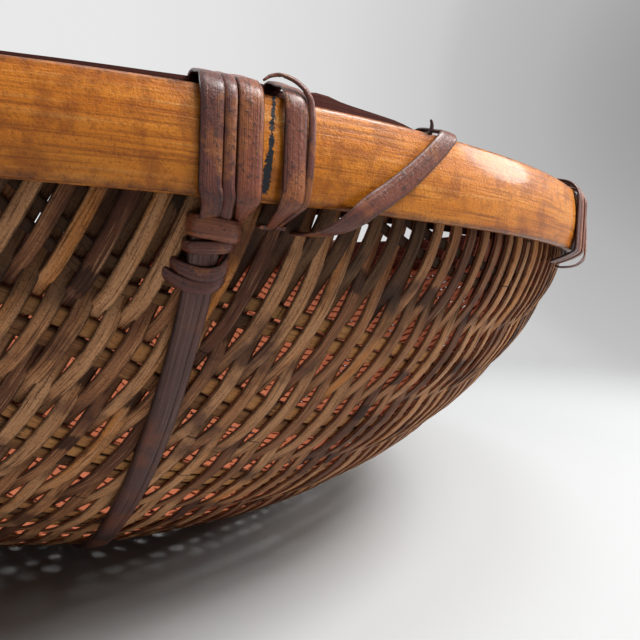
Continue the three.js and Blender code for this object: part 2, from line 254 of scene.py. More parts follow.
# Wefts lie closer together towards the sides of the mat, where it is bent most.
WEFT_HEADING = math.radians(108.1)
WEFT_PITCH = 0.0055
WEFT_LEAST_PITCH = 0.0036
WEFT_CLOSING_SHARE = 1.2
WEFT_CLOSING_RUN = 0.350
WEFT_PAST_BAND = 0.012
WEFT_THICKNESS = 0.0010
WEFT_STEP = 0.0031
WEFT_OVER = 0.0015
WEFT_UNDER = 0.0014
WEFT_FLAT_SHARE = 0.34
# A weft's width is a share of the pitch and a fixed part, and it sways a share of the pitch.
WEFT_WIDTH_SHARE = 0.68
WEFT_WIDTH_PART = 0.0024
WEFT_WIDTH_RANGE = (0.88, 1.08)
WEFT_SWAY_SHARE = 0.09
WEFT_SWAY_POWER = 0.4
WEFT_LOOSE_SHARE = 0.09
WEFT_TILT = 0.10
WEFT_LEAST_TONE = 0.10
WEFT_TONE_SPREAD = (2.0, 1.8)
WEFT_LEAST_LENGTH = 0.02
END_TRIM = 0.002
STAKE_HEADING = math.radians(22.1)
STAKE_THICKNESS = 0.0012
STAKE_SPACE = 0.0003
STAKE_WAVE = 0.0002
STAKE_WIDTH_RANGE = (0.93, 1.0)
STAKE_TONE_SPREAD = (2.4, 1.9)
STAKE_THINNING = 0.42
# The rim draws the bundles together over the last part of their way to it.
RIM_DRAW = 0.014
RIM_DRAW_RUN = 0.352
RIM_DRAW_FROM = 0.88
RIM_DRAW_LENGTH = 0.12
RIM_DRAW_SCALE = 0.095
RIM_DRAW_WIDEST = 0.33
RIM_DRAW_POWER = 1.5
# How far painted shade and dirt darken the strips. Painted shade falls where a weft passes under a
# bundle and past its last crossing before the hoop, where the weft runs on behind in the hoop's shadow.
# The stakes' thinned ends under the hoop get painted shade with some dirt, and the outermost stakes
# darken towards one end near the rim. The last crossing lies inside the hoop's lower edge by a share of
# the bundle's width or more.
INSIDE_SHARE = 0.3
PAINTED_UNDER_SHADE = 0.6
PAINTED_UNDER_SHADE_FADE = 0.04
LAST_CROSSING_PAINTED_SHADE = 0.75
LAST_CROSSING_RUN = 0.03
LAST_CROSSING_FADE = (0.012, 0.006)
STAKE_END_SHADE_AND_DIRT = 0.92
STAKE_END_SHADE_AND_DIRT_RUNS = (0.045, 0.012)
STAKE_THINNING_RUNS = (0.045, 0.008)
OUTER_STAKE_DARKENING = 0.6
OUTER_STAKE_PLACE = 0.29
OUTER_STAKE_DARKENING_RUNS = (0.125, 0.150)
DRAW_SEED = 20
CROSSING_ROUNDS = 6
# Each bundle of stakes: place on the mat, number of strips, width over all, in millimetres.
BUNDLES = (
    (-338, 2, 12.5), (-299, 2, 12.0), (-261, 2, 14.5), (-219, 3, 18.5), (-171, 3, 19.5),
    (-131, 3, 19.5), (-92, 3, 19.8), (-53, 3, 19.5), (-14, 3, 20.0), (25, 3, 19.5),
    (64, 3, 19.8), (103, 3, 19.5), (142, 3, 19.5), (181, 3, 19.2), (220, 3, 19.5),
    (258, 3, 18.8), (296, 3, 18.5), (335, 2, 12.5),
)


def bowl_table():
    """Run from the middle, radius, height and outward direction along the bowl's profile."""
    bends = np.linspace(math.pi / 2, 0.0, PROFILE_STEPS)
    power = 2.0 / PROFILE_EXPONENT
    depth = HOOP_BOTTOM - BOWL_BOTTOM
    radius = BOTTOM_RADIUS + (WALL_RADIUS - BOTTOM_RADIUS) * np.cos(bends).clip(0) ** power
    height = HOOP_BOTTOM - depth * np.sin(bends) ** power
    radius = np.concatenate([[0.0], radius, [WALL_RADIUS]])
    height = np.concatenate([[BOWL_BOTTOM], height, [WALL_TOP]])
    run = np.concatenate([[0.0], np.cumsum(np.hypot(np.diff(radius), np.diff(height)))])
    slope_radius = np.gradient(radius, run)
    slope_height = np.gradient(height, run)
    length = np.hypot(slope_radius, slope_height)
    return run, radius, height, slope_height / length, -slope_radius / length


PROFILE = bowl_table()
RIM_RUN = PROFILE[0][-1]
BAND_RUN = PROFILE[0][-2]


def on_bowl(flat, out):
    """Takes places on the flat mat, before it was drawn up, to the bowl's wall."""
    run, radius, height, out_radius, out_height = PROFILE
    away = np.hypot(flat[..., 0], flat[..., 1])
    angle = np.arctan2(flat[..., 1], flat[..., 0])
    lift = out - WEAVE_DEPTH
    r = np.interp(away, run, radius) + lift * np.interp(away, run, out_radius)
    z = np.interp(away, run, height) + lift * np.interp(away, run, out_height)
    return np.stack([r * np.cos(angle), r * np.sin(angle), z], axis=-1)


class Strips:
    """Gathers split strips, each a row of rings, into the arrays of one mesh."""

    def __init__(self):
        self.points = []
        self.quads = []
        self.ends = []
        self.uv = []
        self.values = {"tone": [], "mark": [], "half": [], "dirt_and_painted_shade": []}
        self.inner = []
        self.count = 0

    def add(self, rings, run, across, tone, mark, half, dirt_and_painted_shade=0.0, inner_sides=()):
        """rings is (steps, sides, 3); across gives each side's place over the width."""
        steps, sides = rings.shape[:2]
        index = self.count + np.arange(steps * sides).reshape(steps, sides)
        beside = np.roll(index, -1, axis=1)
        quads = np.stack([index[:-1], beside[:-1], beside[1:], index[1:]], axis=-1)
        self.points.append(rings.reshape(-1, 3))
        self.quads.append(quads.reshape(-1, 4))
        uv = np.empty((steps, sides, 2))
        uv[..., 0] = run[:, None]
        uv[..., 1] = np.broadcast_to(across, (steps, sides))
        self.uv.append(uv.reshape(-1, 2))
        for name, value in (("tone", tone), ("mark", mark), ("half", half), ("dirt_and_painted_shade", dirt_and_painted_shade)):
            spread = np.broadcast_to(np.reshape(value, (-1, 1)), (steps, sides))
            self.values[name].append(spread.reshape(-1))
        flags = np.zeros((steps - 1, sides), dtype=bool)
        flags[:, list(inner_sides)] = True
        self.inner.append(flags.reshape(-1))
        self.ends.append(index[0][::-1])
        self.ends.append(index[-1])
        self.count += steps * sides

    def build(self, name, *materials):
        points = np.concatenate(self.points)
        quads = np.concatenate(self.quads)
        end_sizes = np.array([len(end) for end in self.ends])
        corners = np.concatenate([quads.reshape(-1), *self.ends])
        totals = np.concatenate([np.full(len(quads), 4), end_sizes])
        starts = np.concatenate([[0], np.cumsum(totals)[:-1]])
        mesh = bpy.data.meshes.new(name)
        mesh.vertices.add(len(points))
        mesh.vertices.foreach_set("co", points.astype(np.float32).ravel())
        mesh.loops.add(len(corners))
        mesh.loops.foreach_set("vertex_index", corners.astype(np.int32))
        mesh.polygons.add(len(starts))
        mesh.polygons.foreach_set("loop_start", starts.astype(np.int32))
        mesh.polygons.foreach_set("loop_total", totals.astype(np.int32))
        for material in materials:
            mesh.materials.append(material)
        flags = np.zeros(len(starts), dtype=np.int32)
        flags[:len(quads)] = np.concatenate(self.inner)
        mesh.polygons.foreach_set("material_index", flags)
        smooth_faces = (np.arange(len(starts)) < len(quads)) & (flags == 0)
        mesh.polygons.foreach_set("use_smooth", smooth_faces)
        mesh.update(calc_edges=True)
        layer = mesh.uv_layers.new(name="along_strip")
        layer.data.foreach_set("uv", np.concatenate(self.uv)[corners].astype(np.float32).ravel())
        for value_name, values in self.values.items():
            attribute = mesh.attributes.new(value_name, "FLOAT", "POINT")
            attribute.data.foreach_set("value", np.concatenate(values).astype(np.float32))
        piece = bpy.data.objects.new(name, mesh)
        scene.collection.objects.link(piece)
        return piece


JOINT_SPACES = (0.15, 0.30)
JOINT_REACH = 0.02
# The bamboo's patterns, in waves per metre along and across a strip.
FIBRE_TONE_SHIFT = 57.0
SHADE_WAVES = (22.0, 160.0)
JOINT_TONE_SHIFT = 31.0
JOINT_WAVES = (160.0, 1400.0)
JOINT_SOFTNESS = 0.0012
EDGE_WAVES = 300.0
EDGE_WANDER = 0.4
BUMP_STRENGTH = 0.6


def growth_marks(run, draw):
    """How far each place along a strip lies from the nearest joint of the bamboo."""
    space = draw.uniform(*JOINT_SPACES)
    shift = draw.uniform(0.0, space)
    near = (run + shift) % space - space / 2
    return np.clip(near, -JOINT_REACH, JOINT_REACH)


def new_group(name, inputs, outputs):
    group = bpy.data.node_groups.new(name, "ShaderNodeTree")
    for label, default in inputs:
        socket = group.interface.new_socket(label, in_out="INPUT", socket_type="NodeSocketFloat")
        socket.default_value = default
    for label in outputs:
        group.interface.new_socket(label, in_out="OUTPUT", socket_type="NodeSocketFloat")
    return group, group.nodes.new("NodeGroupInput"), group.nodes.new("NodeGroupOutput")


def math_node(tree, operation, first, second=None, third=None):
    node = tree.nodes.new("ShaderNodeMath")
    node.operation = operation
    for socket, value in zip(node.inputs, (first, second, third)):
        if value is None:
            continue
        if isinstance(value, (int, float)):
            socket.default_value = value
        else:
            tree.links.new(value, socket)
    return node.outputs[0]


def noise_node(tree, vector, detail, rough):
    node = tree.nodes.new("ShaderNodeTexNoise")
    node.inputs["Scale"].default_value = 1.0
    node.inputs["Detail"].default_value = detail
    node.inputs["Roughness"].default_value = rough
    tree.links.new(vector, node.inputs["Vector"])
    return node.outputs["Fac"]


def joined(tree, x, y, z):
    node = tree.nodes.new("ShaderNodeCombineXYZ")
    for socket, value in zip(node.inputs, (x, y, z)):
        tree.links.new(value, socket)
    return node.outputs[0]


def strip_place(tree):
    """The places along and across a strip, in metres, and its own number from 0 to 1."""
    uv = tree.nodes.new("ShaderNodeUVMap")
    uv.uv_map = "along_strip"
    split = tree.nodes.new("ShaderNodeSeparateXYZ")
    tree.links.new(uv.outputs[0], split.inputs[0])
    tone = tree.nodes.new("ShaderNodeAttribute")
    tone.attribute_name = "tone"
    return split.outputs[0], split.outputs[1], tone.outputs["Fac"]


def fibre_group():
    """Grain drawn out along a strip, flecks, and a slow change of shade."""
    inputs = (("Streak Width", 0.0006), ("Streak Length", 0.03), ("Fleck Size", 0.0016))
    outputs = ("Streaks", "Flecks", "Shade", "Tone", "Height")
    tree, given, result = new_group("bamboo_fibre", inputs, outputs)
    along, across, tone = strip_place(tree)
    own = math_node(tree, "MULTIPLY", tone, FIBRE_TONE_SHIFT)
    streak_along = math_node(tree, "DIVIDE", along, given.outputs["Streak Length"])
    streak_across = math_node(tree, "DIVIDE", across, given.outputs["Streak Width"])
    streaks = noise_node(tree, joined(tree, streak_along, streak_across, own), 5.0, 0.62)
    fleck_along = math_node(tree, "DIVIDE", along, given.outputs["Fleck Size"])
    fleck_across = math_node(tree, "DIVIDE", across, given.outputs["Fleck Size"])
    flecks = noise_node(tree, joined(tree, fleck_along, fleck_across, own), 3.0, 0.65)
    slow_along = math_node(tree, "MULTIPLY", along, SHADE_WAVES[0])
    slow_across = math_node(tree, "MULTIPLY", across, SHADE_WAVES[1])
    shade = noise_node(tree, joined(tree, slow_along, slow_across, own), 3.0, 0.55)
    tree.links.new(streaks, result.inputs["Streaks"])
    tree.links.new(flecks, result.inputs["Flecks"])
    tree.links.new(shade, result.inputs["Shade"])
    tree.links.new(tone, result.inputs["Tone"])
    tree.links.new(math_node(tree, "ADD", streaks, flecks), result.inputs["Height"])
    return tree


def joint_group():
    """The dark patch that a joint of the bamboo leaves across a strip."""
    tree, given, result = new_group("bamboo_joint", (("Length", 0.0045),), ("Mask",))
    along, across, tone = strip_place(tree)
    own = math_node(tree, "MULTIPLY", tone, JOINT_TONE_SHIFT)
    ragged_along = math_node(tree, "MULTIPLY", along, JOINT_WAVES[0])
    ragged_across = math_node(tree, "MULTIPLY", across, JOINT_WAVES[1])
    ragged = noise_node(tree, joined(tree, ragged_along, ragged_across, own), 3.0, 0.7)
    near = tree.nodes.new("ShaderNodeAttribute")
    near.attribute_name = "mark"
    away = math_node(tree, "ABSOLUTE", near.outputs["Fac"])
    twice = math_node(tree, "MULTIPLY", ragged, 2.0)
    reach = math_node(tree, "MULTIPLY", given.outputs["Length"], twice)
    depth = math_node(tree, "SUBTRACT", reach, away)
    soft = tree.nodes.new("ShaderNodeMapRange")
    soft.inputs["From Max"].default_value = JOINT_SOFTNESS
    tree.links.new(depth, soft.inputs["Value"])
    tree.links.new(soft.outputs[0], result.inputs["Mask"])
    return tree


def edge_group():
    """Dirt and wear along a strip's two long edges, which also paints the shade that falls along them.
    """
    tree, given, result = new_group("strip_edges", (("Start", 0.7), ("End", 1.0)), ("Mask",))
    along, across, tone = strip_place(tree)
    half = tree.nodes.new("ShaderNodeAttribute")
    half.attribute_name = "half"
    share = math_node(tree, "DIVIDE", math_node(tree, "ABSOLUTE", across), half.outputs["Fac"])
    rough_along = math_node(tree, "MULTIPLY", along, EDGE_WAVES)
    rough_across = math_node(tree, "MULTIPLY", across, EDGE_WAVES)
    rough = noise_node(tree, joined(tree, rough_along, rough_across, tone), 4.0, 0.7)
    wander = math_node(tree, "MULTIPLY_ADD", rough, EDGE_WANDER, -EDGE_WANDER / 2)
    moved = math_node(tree, "ADD", share, wander)
    soft = tree.nodes.new("ShaderNodeMapRange")
    tree.links.new(given.outputs["Start"], soft.inputs["From Min"])
    tree.links.new(given.outputs["End"], soft.inputs["From Max"])
    tree.links.new(moved, soft.inputs["Value"])
    tree.links.new(soft.outputs[0], result.inputs["Mask"])
    return tree


def stain_group():
    """Wide stains that age has left over neighbouring strips alike."""
    tree, given, result = new_group("age_stains", (("Size", 0.03),), ("Mask",))
    place = tree.nodes.new("ShaderNodeTexCoord")
    scaled = tree.nodes.new("ShaderNodeVectorMath")
    scaled.operation = "SCALE"
    tree.links.new(place.outputs["Object"], scaled.inputs[0])
    tree.links.new(math_node(tree, "DIVIDE", 1.0, given.outputs["Size"]), scaled.inputs["Scale"])
    tree.links.new(noise_node(tree, scaled.outputs[0], 4.0, 0.6), result.inputs["Mask"])
    return tree


FIBRE = fibre_group()
JOINT = joint_group()
EDGE = edge_group()
STAIN = stain_group()


def bamboo_material(
    name, tones, grain, finish, layers,
    shade_share=0.55, coat=0.0, specular=0.2, stain_size=0.03, coat_rough=0.22,
):
    """tones: place and colour of whole strips. grain: streak width, length and fleck size.
    finish: roughness, its change and bump depth. layers: what shows where, and its colour."""
    material = bpy.data.materials.new(name)
    material.use_nodes = True
    tree = material.node_tree
    shader = tree.nodes["Principled BSDF"]
    fibre = tree.nodes.new("ShaderNodeGroup")
    fibre.node_tree = FIBRE
    for label, value in zip(("Streak Width", "Streak Length", "Fleck Size"), grain):
        fibre.inputs[label].default_value = value
    shifted = math_node(tree, "SUBTRACT", fibre.outputs["Tone"], shade_share / 2)
    mixed = math_node(tree, "MULTIPLY_ADD", fibre.outputs["Shade"], shade_share, shifted)
    ramp = tree.nodes.new("ShaderNodeValToRGB")
    while len(ramp.color_ramp.elements) < len(tones):
        ramp.color_ramp.elements.new(0.5)
    for element, (place, colour) in zip(ramp.color_ramp.elements, tones):
        element.position = place
        element.color = (*colour, 1.0)
    tree.links.new(mixed, ramp.inputs[0])
    colour = ramp.outputs[0]
    for what, low, high, tint, strength in layers:
        if what in ("joint", "edge", "stain"):
            effect = tree.nodes.new("ShaderNodeGroup")
            effect.node_tree = {"joint": JOINT, "edge": EDGE, "stain": STAIN}[what]
            mask = effect.outputs["Mask"]
            if what == "edge":
                effect.inputs["Start"].default_value = low
                effect.inputs["End"].default_value = high
                low, high = 0.0, 1.0
            if what == "stain":
                effect.inputs["Size"].default_value = stain_size
        # Painted shade in recesses and under the hoop, mixed with some dirt, read from a value on the
        # strips.
        elif what == "dirt_and_painted_shade":
            dirt_and_shade_value = tree.nodes.new("ShaderNodeAttribute")
            dirt_and_shade_value.attribute_name = "dirt_and_painted_shade"
            mask = dirt_and_shade_value.outputs["Fac"]
        else:
            mask = fibre.outputs[what]
        reach = tree.nodes.new("ShaderNodeMapRange")
        reach.inputs["From Min"].default_value = low
        reach.inputs["From Max"].default_value = high
        reach.inputs["To Max"].default_value = strength
        tree.links.new(mask, reach.inputs["Value"])
        mix = tree.nodes.new("ShaderNodeMix")
        mix.data_type = "RGBA"
        tree.links.new(reach.outputs[0], mix.inputs["Factor"])
        tree.links.new(colour, mix.inputs["A"])
        mix.inputs["B"].default_value = (*tint, 1.0)
        colour = mix.outputs["Result"]
    tree.links.new(colour, shader.inputs["Base Color"])
    gloss = tree.nodes.new("ShaderNodeMapRange")
    gloss.inputs["To Min"].default_value = finish[0] - finish[1]
    gloss.inputs["To Max"].default_value = finish[0] + finish[1]
    tree.links.new(fibre.outputs["Streaks"], gloss.inputs["Value"])
    tree.links.new(gloss.outputs[0], shader.inputs["Roughness"])
    shader.inputs["Coat Weight"].default_value = coat
    shader.inputs["Coat Roughness"].default_value = coat_rough
    shader.inputs["Specular IOR Level"].default_value = specular
    bump = tree.nodes.new("ShaderNodeBump")
    bump.inputs["Strength"].default_value = BUMP_STRENGTH
    bump.inputs["Distance"].default_value = finish[2]
    tree.links.new(fibre.outputs["Height"], bump.inputs["Height"])
    tree.links.new(bump.outputs[0], shader.inputs["Normal"])
    return material


WEFT_SIDE = bamboo_material(
    "weft_fibre_side",
    (
        (0.0, (0.075, 0.029, 0.018)), (0.20, (0.140, 0.054, 0.028)), (0.38, (0.270, 0.112, 0.050)),
        (0.58, (0.400, 0.178, 0.076)), (0.78, (0.530, 0.270, 0.130)), (1.0, (0.520, 0.190, 0.045)),
    ),
    (0.00055, 0.016, 0.0006), (0.60, 0.14, 0.0004),
    (
        ("Streaks", 0.52, 0.64, (0.040, 0.015, 0.008), 0.8),
        ("Streaks", 0.45, 0.32, (0.72, 0.40, 0.20), 0.45),
        ("Flecks", 0.55, 0.64, (0.100, 0.026, 0.009), 0.6),
        ("stain", 0.52, 0.64, (0.060, 0.024, 0.018), 0.8),
        ("joint", 0.0, 1.0, (0.030, 0.012, 0.008), 0.85),
        # Wear and dirt on the edges, which also paints the shade between the strips.
        ("edge", 0.68, 1.02, (0.015, 0.007, 0.005), 0.88),
        # Painted shade where a weft passes under a bundle and behind the hoop, with some dirt.
        ("dirt_and_painted_shade", 0.0, 1.0, (0.012, 0.007, 0.005), 1.0),
    ),
    shade_share=0.75, specular=0.1,
)
STAKE_SIDE = bamboo_material(
    "stake_fibre_side",
    (
        (0.0, (0.080, 0.033, 0.018)), (0.3, (0.200, 0.084, 0.032)),
        (0.6, (0.380, 0.165, 0.056)), (1.0, (0.500, 0.235, 0.080)),
    ),
    (0.0006, 0.016, 0.0008), (0.60, 0.14, 0.00035),
    (
        ("Streaks", 0.53, 0.67, (0.044, 0.019, 0.010), 0.7),
        ("Streaks", 0.44, 0.30, (0.46, 0.26, 0.11), 0.35),
        ("Flecks", 0.58, 0.66, (0.070, 0.022, 0.009), 0.5),
        ("stain", 0.54, 0.68, (0.050, 0.024, 0.016), 0.7),
        ("joint", 0.0, 1.0, (0.030, 0.013, 0.008), 0.8),
        # Wear and dirt on the edges, which also paints the shade between the strips.
        ("edge", 0.68, 1.02, (0.015, 0.008, 0.005), 0.9),
        # Painted shade under the hoop at the stakes' ends, with some dirt, and a darkening towards one
        # end of the outermost stakes.
        ("dirt_and_painted_shade", 0.0, 1.0, (0.016, 0.009, 0.007), 1.0),
    ),
    shade_share=0.75, specular=0.1,
)
SKIN_SIDE = bamboo_material(
    "strip_skin_side",
    ((0.0, (0.28, 0.078, 0.034)), (0.5, (0.32, 0.094, 0.044)), (1.0, (0.36, 0.114, 0.058))),
    (0.0008, 0.05, 0.002), (0.6, 0.1, 0.0001),
    (
        ("Streaks", 0.55, 0.75, (0.24, 0.062, 0.025), 0.4),
        ("joint", 0.0, 1.0, (0.20, 0.054, 0.024), 0.3),
    ),
    specular=0.08,
)

draw = np.random.default_rng(DRAW_SEED)
weft_along = np.array([math.cos(WEFT_HEADING), math.sin(WEFT_HEADING)])
weft_across = np.array([math.sin(WEFT_HEADING), -math.cos(WEFT_HEADING)])
stake_along = np.array([math.cos(STAKE_HEADING), math.sin(STAKE_HEADING)])
stake_across = np.array([-math.sin(STAKE_HEADING), math.cos(STAKE_HEADING)])
bundle_places = np.array([place for place, strips, width in BUNDLES]) / 1000
bundle_widths = np.array([width for place, strips, width in BUNDLES]) / 1000


def smooth(value, low, high):
    share = np.clip((value - low) / (high - low), 0.0, 1.0)
    return share * share * (3 - 2 * share)


def weft_rows():
    """Places of the wefts over the mat, which lie closer towards its sides."""
    places = [WEFT_PITCH / 2]
    while places[-1] < BAND_RUN + WEFT_PAST_BAND:
        places.append(places[-1] + weft_pitch(places[-1]))
    places = np.array(places)
    return np.concatenate([-places[::-1], places])


def weft_pitch(place):
    closing = WEFT_CLOSING_SHARE * (place / WEFT_CLOSING_RUN) ** 2
    return np.maximum(WEFT_PITCH * (1 - closing), WEFT_LEAST_PITCH)


def drawn_in(place, along):
    """A bundle's place once the rim has drawn its ends together."""
    way = np.clip(np.hypot(place, along) / RIM_DRAW_RUN - RIM_DRAW_FROM, 0.0, RIM_DRAW_LENGTH)
    share = way / RIM_DRAW_SCALE * (np.abs(place) < RIM_DRAW_WIDEST)
    return place - np.sign(place) * RIM_DRAW * share ** RIM_DRAW_POWER


def bundle_crossings(place):
    """Where a weft at this place meets each bundle: along the weft and along the bundle."""
    crossing = weft_along @ stake_across
    skew = weft_across @ stake_across
    run = (bundle_places - skew * place) / crossing
    for step in range(CROSSING_ROUNDS):
        along = run * (weft_along @ stake_along) + place * (weft_across @ stake_along)
        run = (drawn_in(bundle_places, along) - skew * place) / crossing
    return run, along


# Places in half widths across and in thicknesses outward, from one edge over the fibre side
# to the other and back along the skin side. The last three faces take the skin's colour. The
# wefts' rings are laid the other way round, so theirs have other numbers.
STRIP_SECTION = (
    (-1.0, 0.0), (-0.9, 0.36), (-0.5, 0.5), (0.5, 0.5),
    (0.9, 0.36), (1.0, 0.0), (0.96, -0.5), (-0.96, -0.5),
)
SECTION_SIDES = np.array([side for side, up in STRIP_SECTION])
SECTION_UPS = np.array([up for side, up in STRIP_SECTION])
STAKE_SKIN_FACES = (5, 6, 7)
WEFT_SKIN_FACES = (0, 1, 7)
weft_places = weft_rows()
crossings = [bundle_crossings(place) for place in weft_places]
over_first = (np.arange(len(weft_places))[:, None] + np.arange(len(BUNDLES))[None, :]) % 2 == 0


def add_wefts():
    """The close rows of strips that pass over one bundle of stakes and under the next."""
    strips = Strips()
    for number, place in enumerate(weft_places):
        pitch = weft_pitch(place)
        reach = math.sqrt(max(RIM_RUN ** 2 - place ** 2, 0.0))
        body_reach = math.sqrt(max(BAND_RUN ** 2 - place ** 2, 0.0))
        met = crossings[number][0]
        level = np.where(over_first[number], 1.0, -1.0)
        inside = np.flatnonzero(np.abs(met) < body_reach - bundle_widths * INSIDE_SHARE)
        last_met = body_reach - LAST_CROSSING_RUN
        trim = draw.uniform(0.0, END_TRIM, 2)
        ends = [-reach + trim[0], reach - trim[1]]
        if ends[1] - ends[0] < WEFT_LEAST_LENGTH:
            continue
        run = np.linspace(ends[0], ends[1], max(4, int((ends[1] - ends[0]) / WEFT_STEP)))
        flat_half = bundle_widths * WEFT_FLAT_SHARE
        stops = np.stack([met - flat_half, met + flat_half], axis=1).ravel()
        wave = np.interp(run, stops, np.repeat(level, 2))
        wave = 1.5 * wave - 0.5 * wave ** 3
        height = np.where(wave > 0, WEFT_OVER, WEFT_UNDER) * wave
        loose = np.interp(run, met, draw.uniform(-1.0, 1.0, len(met)))
        swing = WEFT_SWAY_SHARE * wave * np.abs(wave) ** WEFT_SWAY_POWER
        sway = pitch * (swing + WEFT_LOOSE_SHARE * loose)
        tilt = np.interp(run, met, draw.uniform(-WEFT_TILT, WEFT_TILT, len(met)))
        width = WEFT_WIDTH_SHARE * pitch + WEFT_WIDTH_PART
        half = width / 2 * draw.uniform(*WEFT_WIDTH_RANGE)
        middle = run[:, None, None] * weft_along + (place + sway)[:, None, None] * weft_across
        flat = middle + (SECTION_SIDES * half)[None, :, None] * weft_across
        out = height[:, None] + SECTION_UPS * WEFT_THICKNESS
        out = out + tilt[:, None] * SECTION_SIDES * half
        rings = on_bowl(flat, out)
        tone = WEFT_LEAST_TONE + (1 - WEFT_LEAST_TONE) * draw.beta(*WEFT_TONE_SPREAD)
        # Painted shade: darker where the weft passes under a bundle, and past its last crossing, where
        # it runs on behind in the hoop's shadow.
        near_hoop = smooth(np.abs(run), last_met - PAINTED_UNDER_SHADE_FADE, last_met)
        dirt_and_painted_shade = PAINTED_UNDER_SHADE * np.clip(-wave, 0.0, 1.0) * (1 - near_hoop)
        if len(inside):
            under_end = np.where(run < 0, level[inside[0]] < 0, level[inside[-1]] < 0)
            fade = (last_met - LAST_CROSSING_FADE[0], last_met + LAST_CROSSING_FADE[1])
            dirt_and_painted_shade = np.maximum(dirt_and_painted_shade, under_end * LAST_CROSSING_PAINTED_SHADE * smooth(np.abs(run), *fade))
        strips.add(
            rings[:, ::-1], run, SECTION_SIDES[::-1] * half, tone,
            growth_marks(run, draw), half, dirt_and_painted_shade, WEFT_SKIN_FACES,
        )
    return strips.build("weft_strips", WEFT_SIDE, SKIN_SIDE)


def add_stakes():
    """The bundles of strips that cross the wefts, side by side and thinned at their ends."""
    strips = Strips()
    for number, (centre, count, width) in enumerate(BUNDLES):
        centre = centre / 1000
        strip_width = (width / 1000 - (count - 1) * STAKE_SPACE) / count
        met = np.array([along[number] for run, along in crossings])
        level = np.where(over_first[:, number], -1.0, 1.0)
        order = np.argsort(met)
        met = met[order]
        level = level[order]
        for strip in range(count):
            shift = (strip - (count - 1) / 2) * (strip_width + STAKE_SPACE)
            reach = math.sqrt(RIM_RUN ** 2 - centre ** 2)
            for step in range(CROSSING_ROUNDS):
                reach = math.sqrt(RIM_RUN ** 2 - (drawn_in(centre, reach) + shift) ** 2)
            ends = (-reach + draw.uniform(0.0, END_TRIM), reach - draw.uniform(0.0, END_TRIM))
            between = (met[:-1] + met[1:]) / 2
            stops = np.concatenate([met, between])
            kept = stops[(stops > ends[0]) & (stops < ends[1])]
            run = np.unique(np.concatenate([ends, kept]))
            height = np.interp(run, met, level) * STAKE_WAVE
            half = strip_width / 2 * draw.uniform(*STAKE_WIDTH_RANGE)
            middle = drawn_in(centre, run) + shift
            from_centre = np.hypot(run, middle)
            thinning = [BAND_RUN - before for before in STAKE_THINNING_RUNS]
            thinned = 1 - STAKE_THINNING * smooth(from_centre, *thinning)
            flat = run[:, None, None] * stake_along + middle[:, None, None] * stake_across
            flat = flat + (thinned[:, None] * SECTION_SIDES * half)[..., None] * stake_across
            rings = on_bowl(flat, height[:, None] + SECTION_UPS * STAKE_THICKNESS)
            tone = draw.beta(*STAKE_TONE_SPREAD)
            # The outermost stakes darken towards one end near the rim; the thinned ends under the hoop
            # get painted shade mixed with dirt.
            outermost = abs(centre) > OUTER_STAKE_PLACE
            dirt_and_painted_shade = OUTER_STAKE_DARKENING * smooth(-run, *OUTER_STAKE_DARKENING_RUNS) * outermost
            shade_and_dirt_runs = [BAND_RUN - before for before in STAKE_END_SHADE_AND_DIRT_RUNS]
            dirt_and_painted_shade = np.maximum(dirt_and_painted_shade, STAKE_END_SHADE_AND_DIRT * smooth(from_centre, *shade_and_dirt_runs))
            strips.add(
                rings, run, SECTION_SIDES * half, tone,
                growth_marks(run, draw), half, dirt_and_painted_shade, STAKE_SKIN_FACES,
            )
    return strips.build("stake_strips", STAKE_SIDE, SKIN_SIDE)


for piece in (add_wefts(), add_stakes()):
    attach(piece, BODY)
    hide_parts("woven_body")

# Rim core
# The ends of the woven strips, trimmed at the rim and folded over outside the wall, where
# the two hoops clamp them in two close rows.
CORE_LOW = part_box("rim_core")[0].z
CORE_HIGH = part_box("rim_core")[1].z
CORE_ROWS = (0.2912, 0.2932)
CORE_PITCH = 0.0066
CORE_SPREAD = 0.12
CORE_LEAN = 0.02
CORE_TRIM = 0.0028
CORE_WIDTHS = (0.0042, 0.0062)
CORE_THICKNESS = 0.0012

CORE_STRIP = bamboo_material(
    "strip_ends",
    ((0.0, (0.030, 0.018, 0.014)), (0.5, (0.075, 0.044, 0.028)), (1.0, (0.150, 0.092, 0.050))),
    (0.0004, 0.02, 0.0014), (0.7, 0.1, 0.0003),
    (("Streaks", 0.5, 0.7, (0.02, 0.012, 0.01), 0.7), ("edge", 0.6, 1.0, (0.012, 0.008, 0.006), 0.7)),
)

SPLIT_SECTION = (
    (-1.0, 0.0), (-0.86, 0.34), (-0.42, 0.48), (0.0, 0.53), (0.42, 0.48), (0.86, 0.34),
    (1.0, 0.0), (0.84, -0.40), (0.0, -0.45), (-0.84, -0.40),
)


def unit(vectors):
    return vectors / np.linalg.norm(vectors, axis=-1, keepdims=True)


def add_split(strips, path, outward, width, thickness, tone, mark=0.02, section=SPLIT_SECTION):
    """Lays a split strip along the path, its crowned side outward."""
    width = np.broadcast_to(width, len(path))
    thickness = np.broadcast_to(thickness, len(path))
    along = unit(np.gradient(path, axis=0))
    across = unit(np.cross(along, outward))
    lifted = np.cross(across, along)
    sides = np.array([side for side, up in section])
    ups = np.array([up for side, up in section])
    rings = (
        path[:, None, :]
        + across[:, None, :] * (sides * width[:, None] / 2)[..., None]
        + lifted[:, None, :] * (ups * thickness[:, None])[..., None]
    )
    run = np.concatenate([[0.0], np.cumsum(np.linalg.norm(np.diff(path, axis=0), axis=1))])
    strips.add(rings, run, sides * width[:, None] / 2, tone, mark, width / 2)


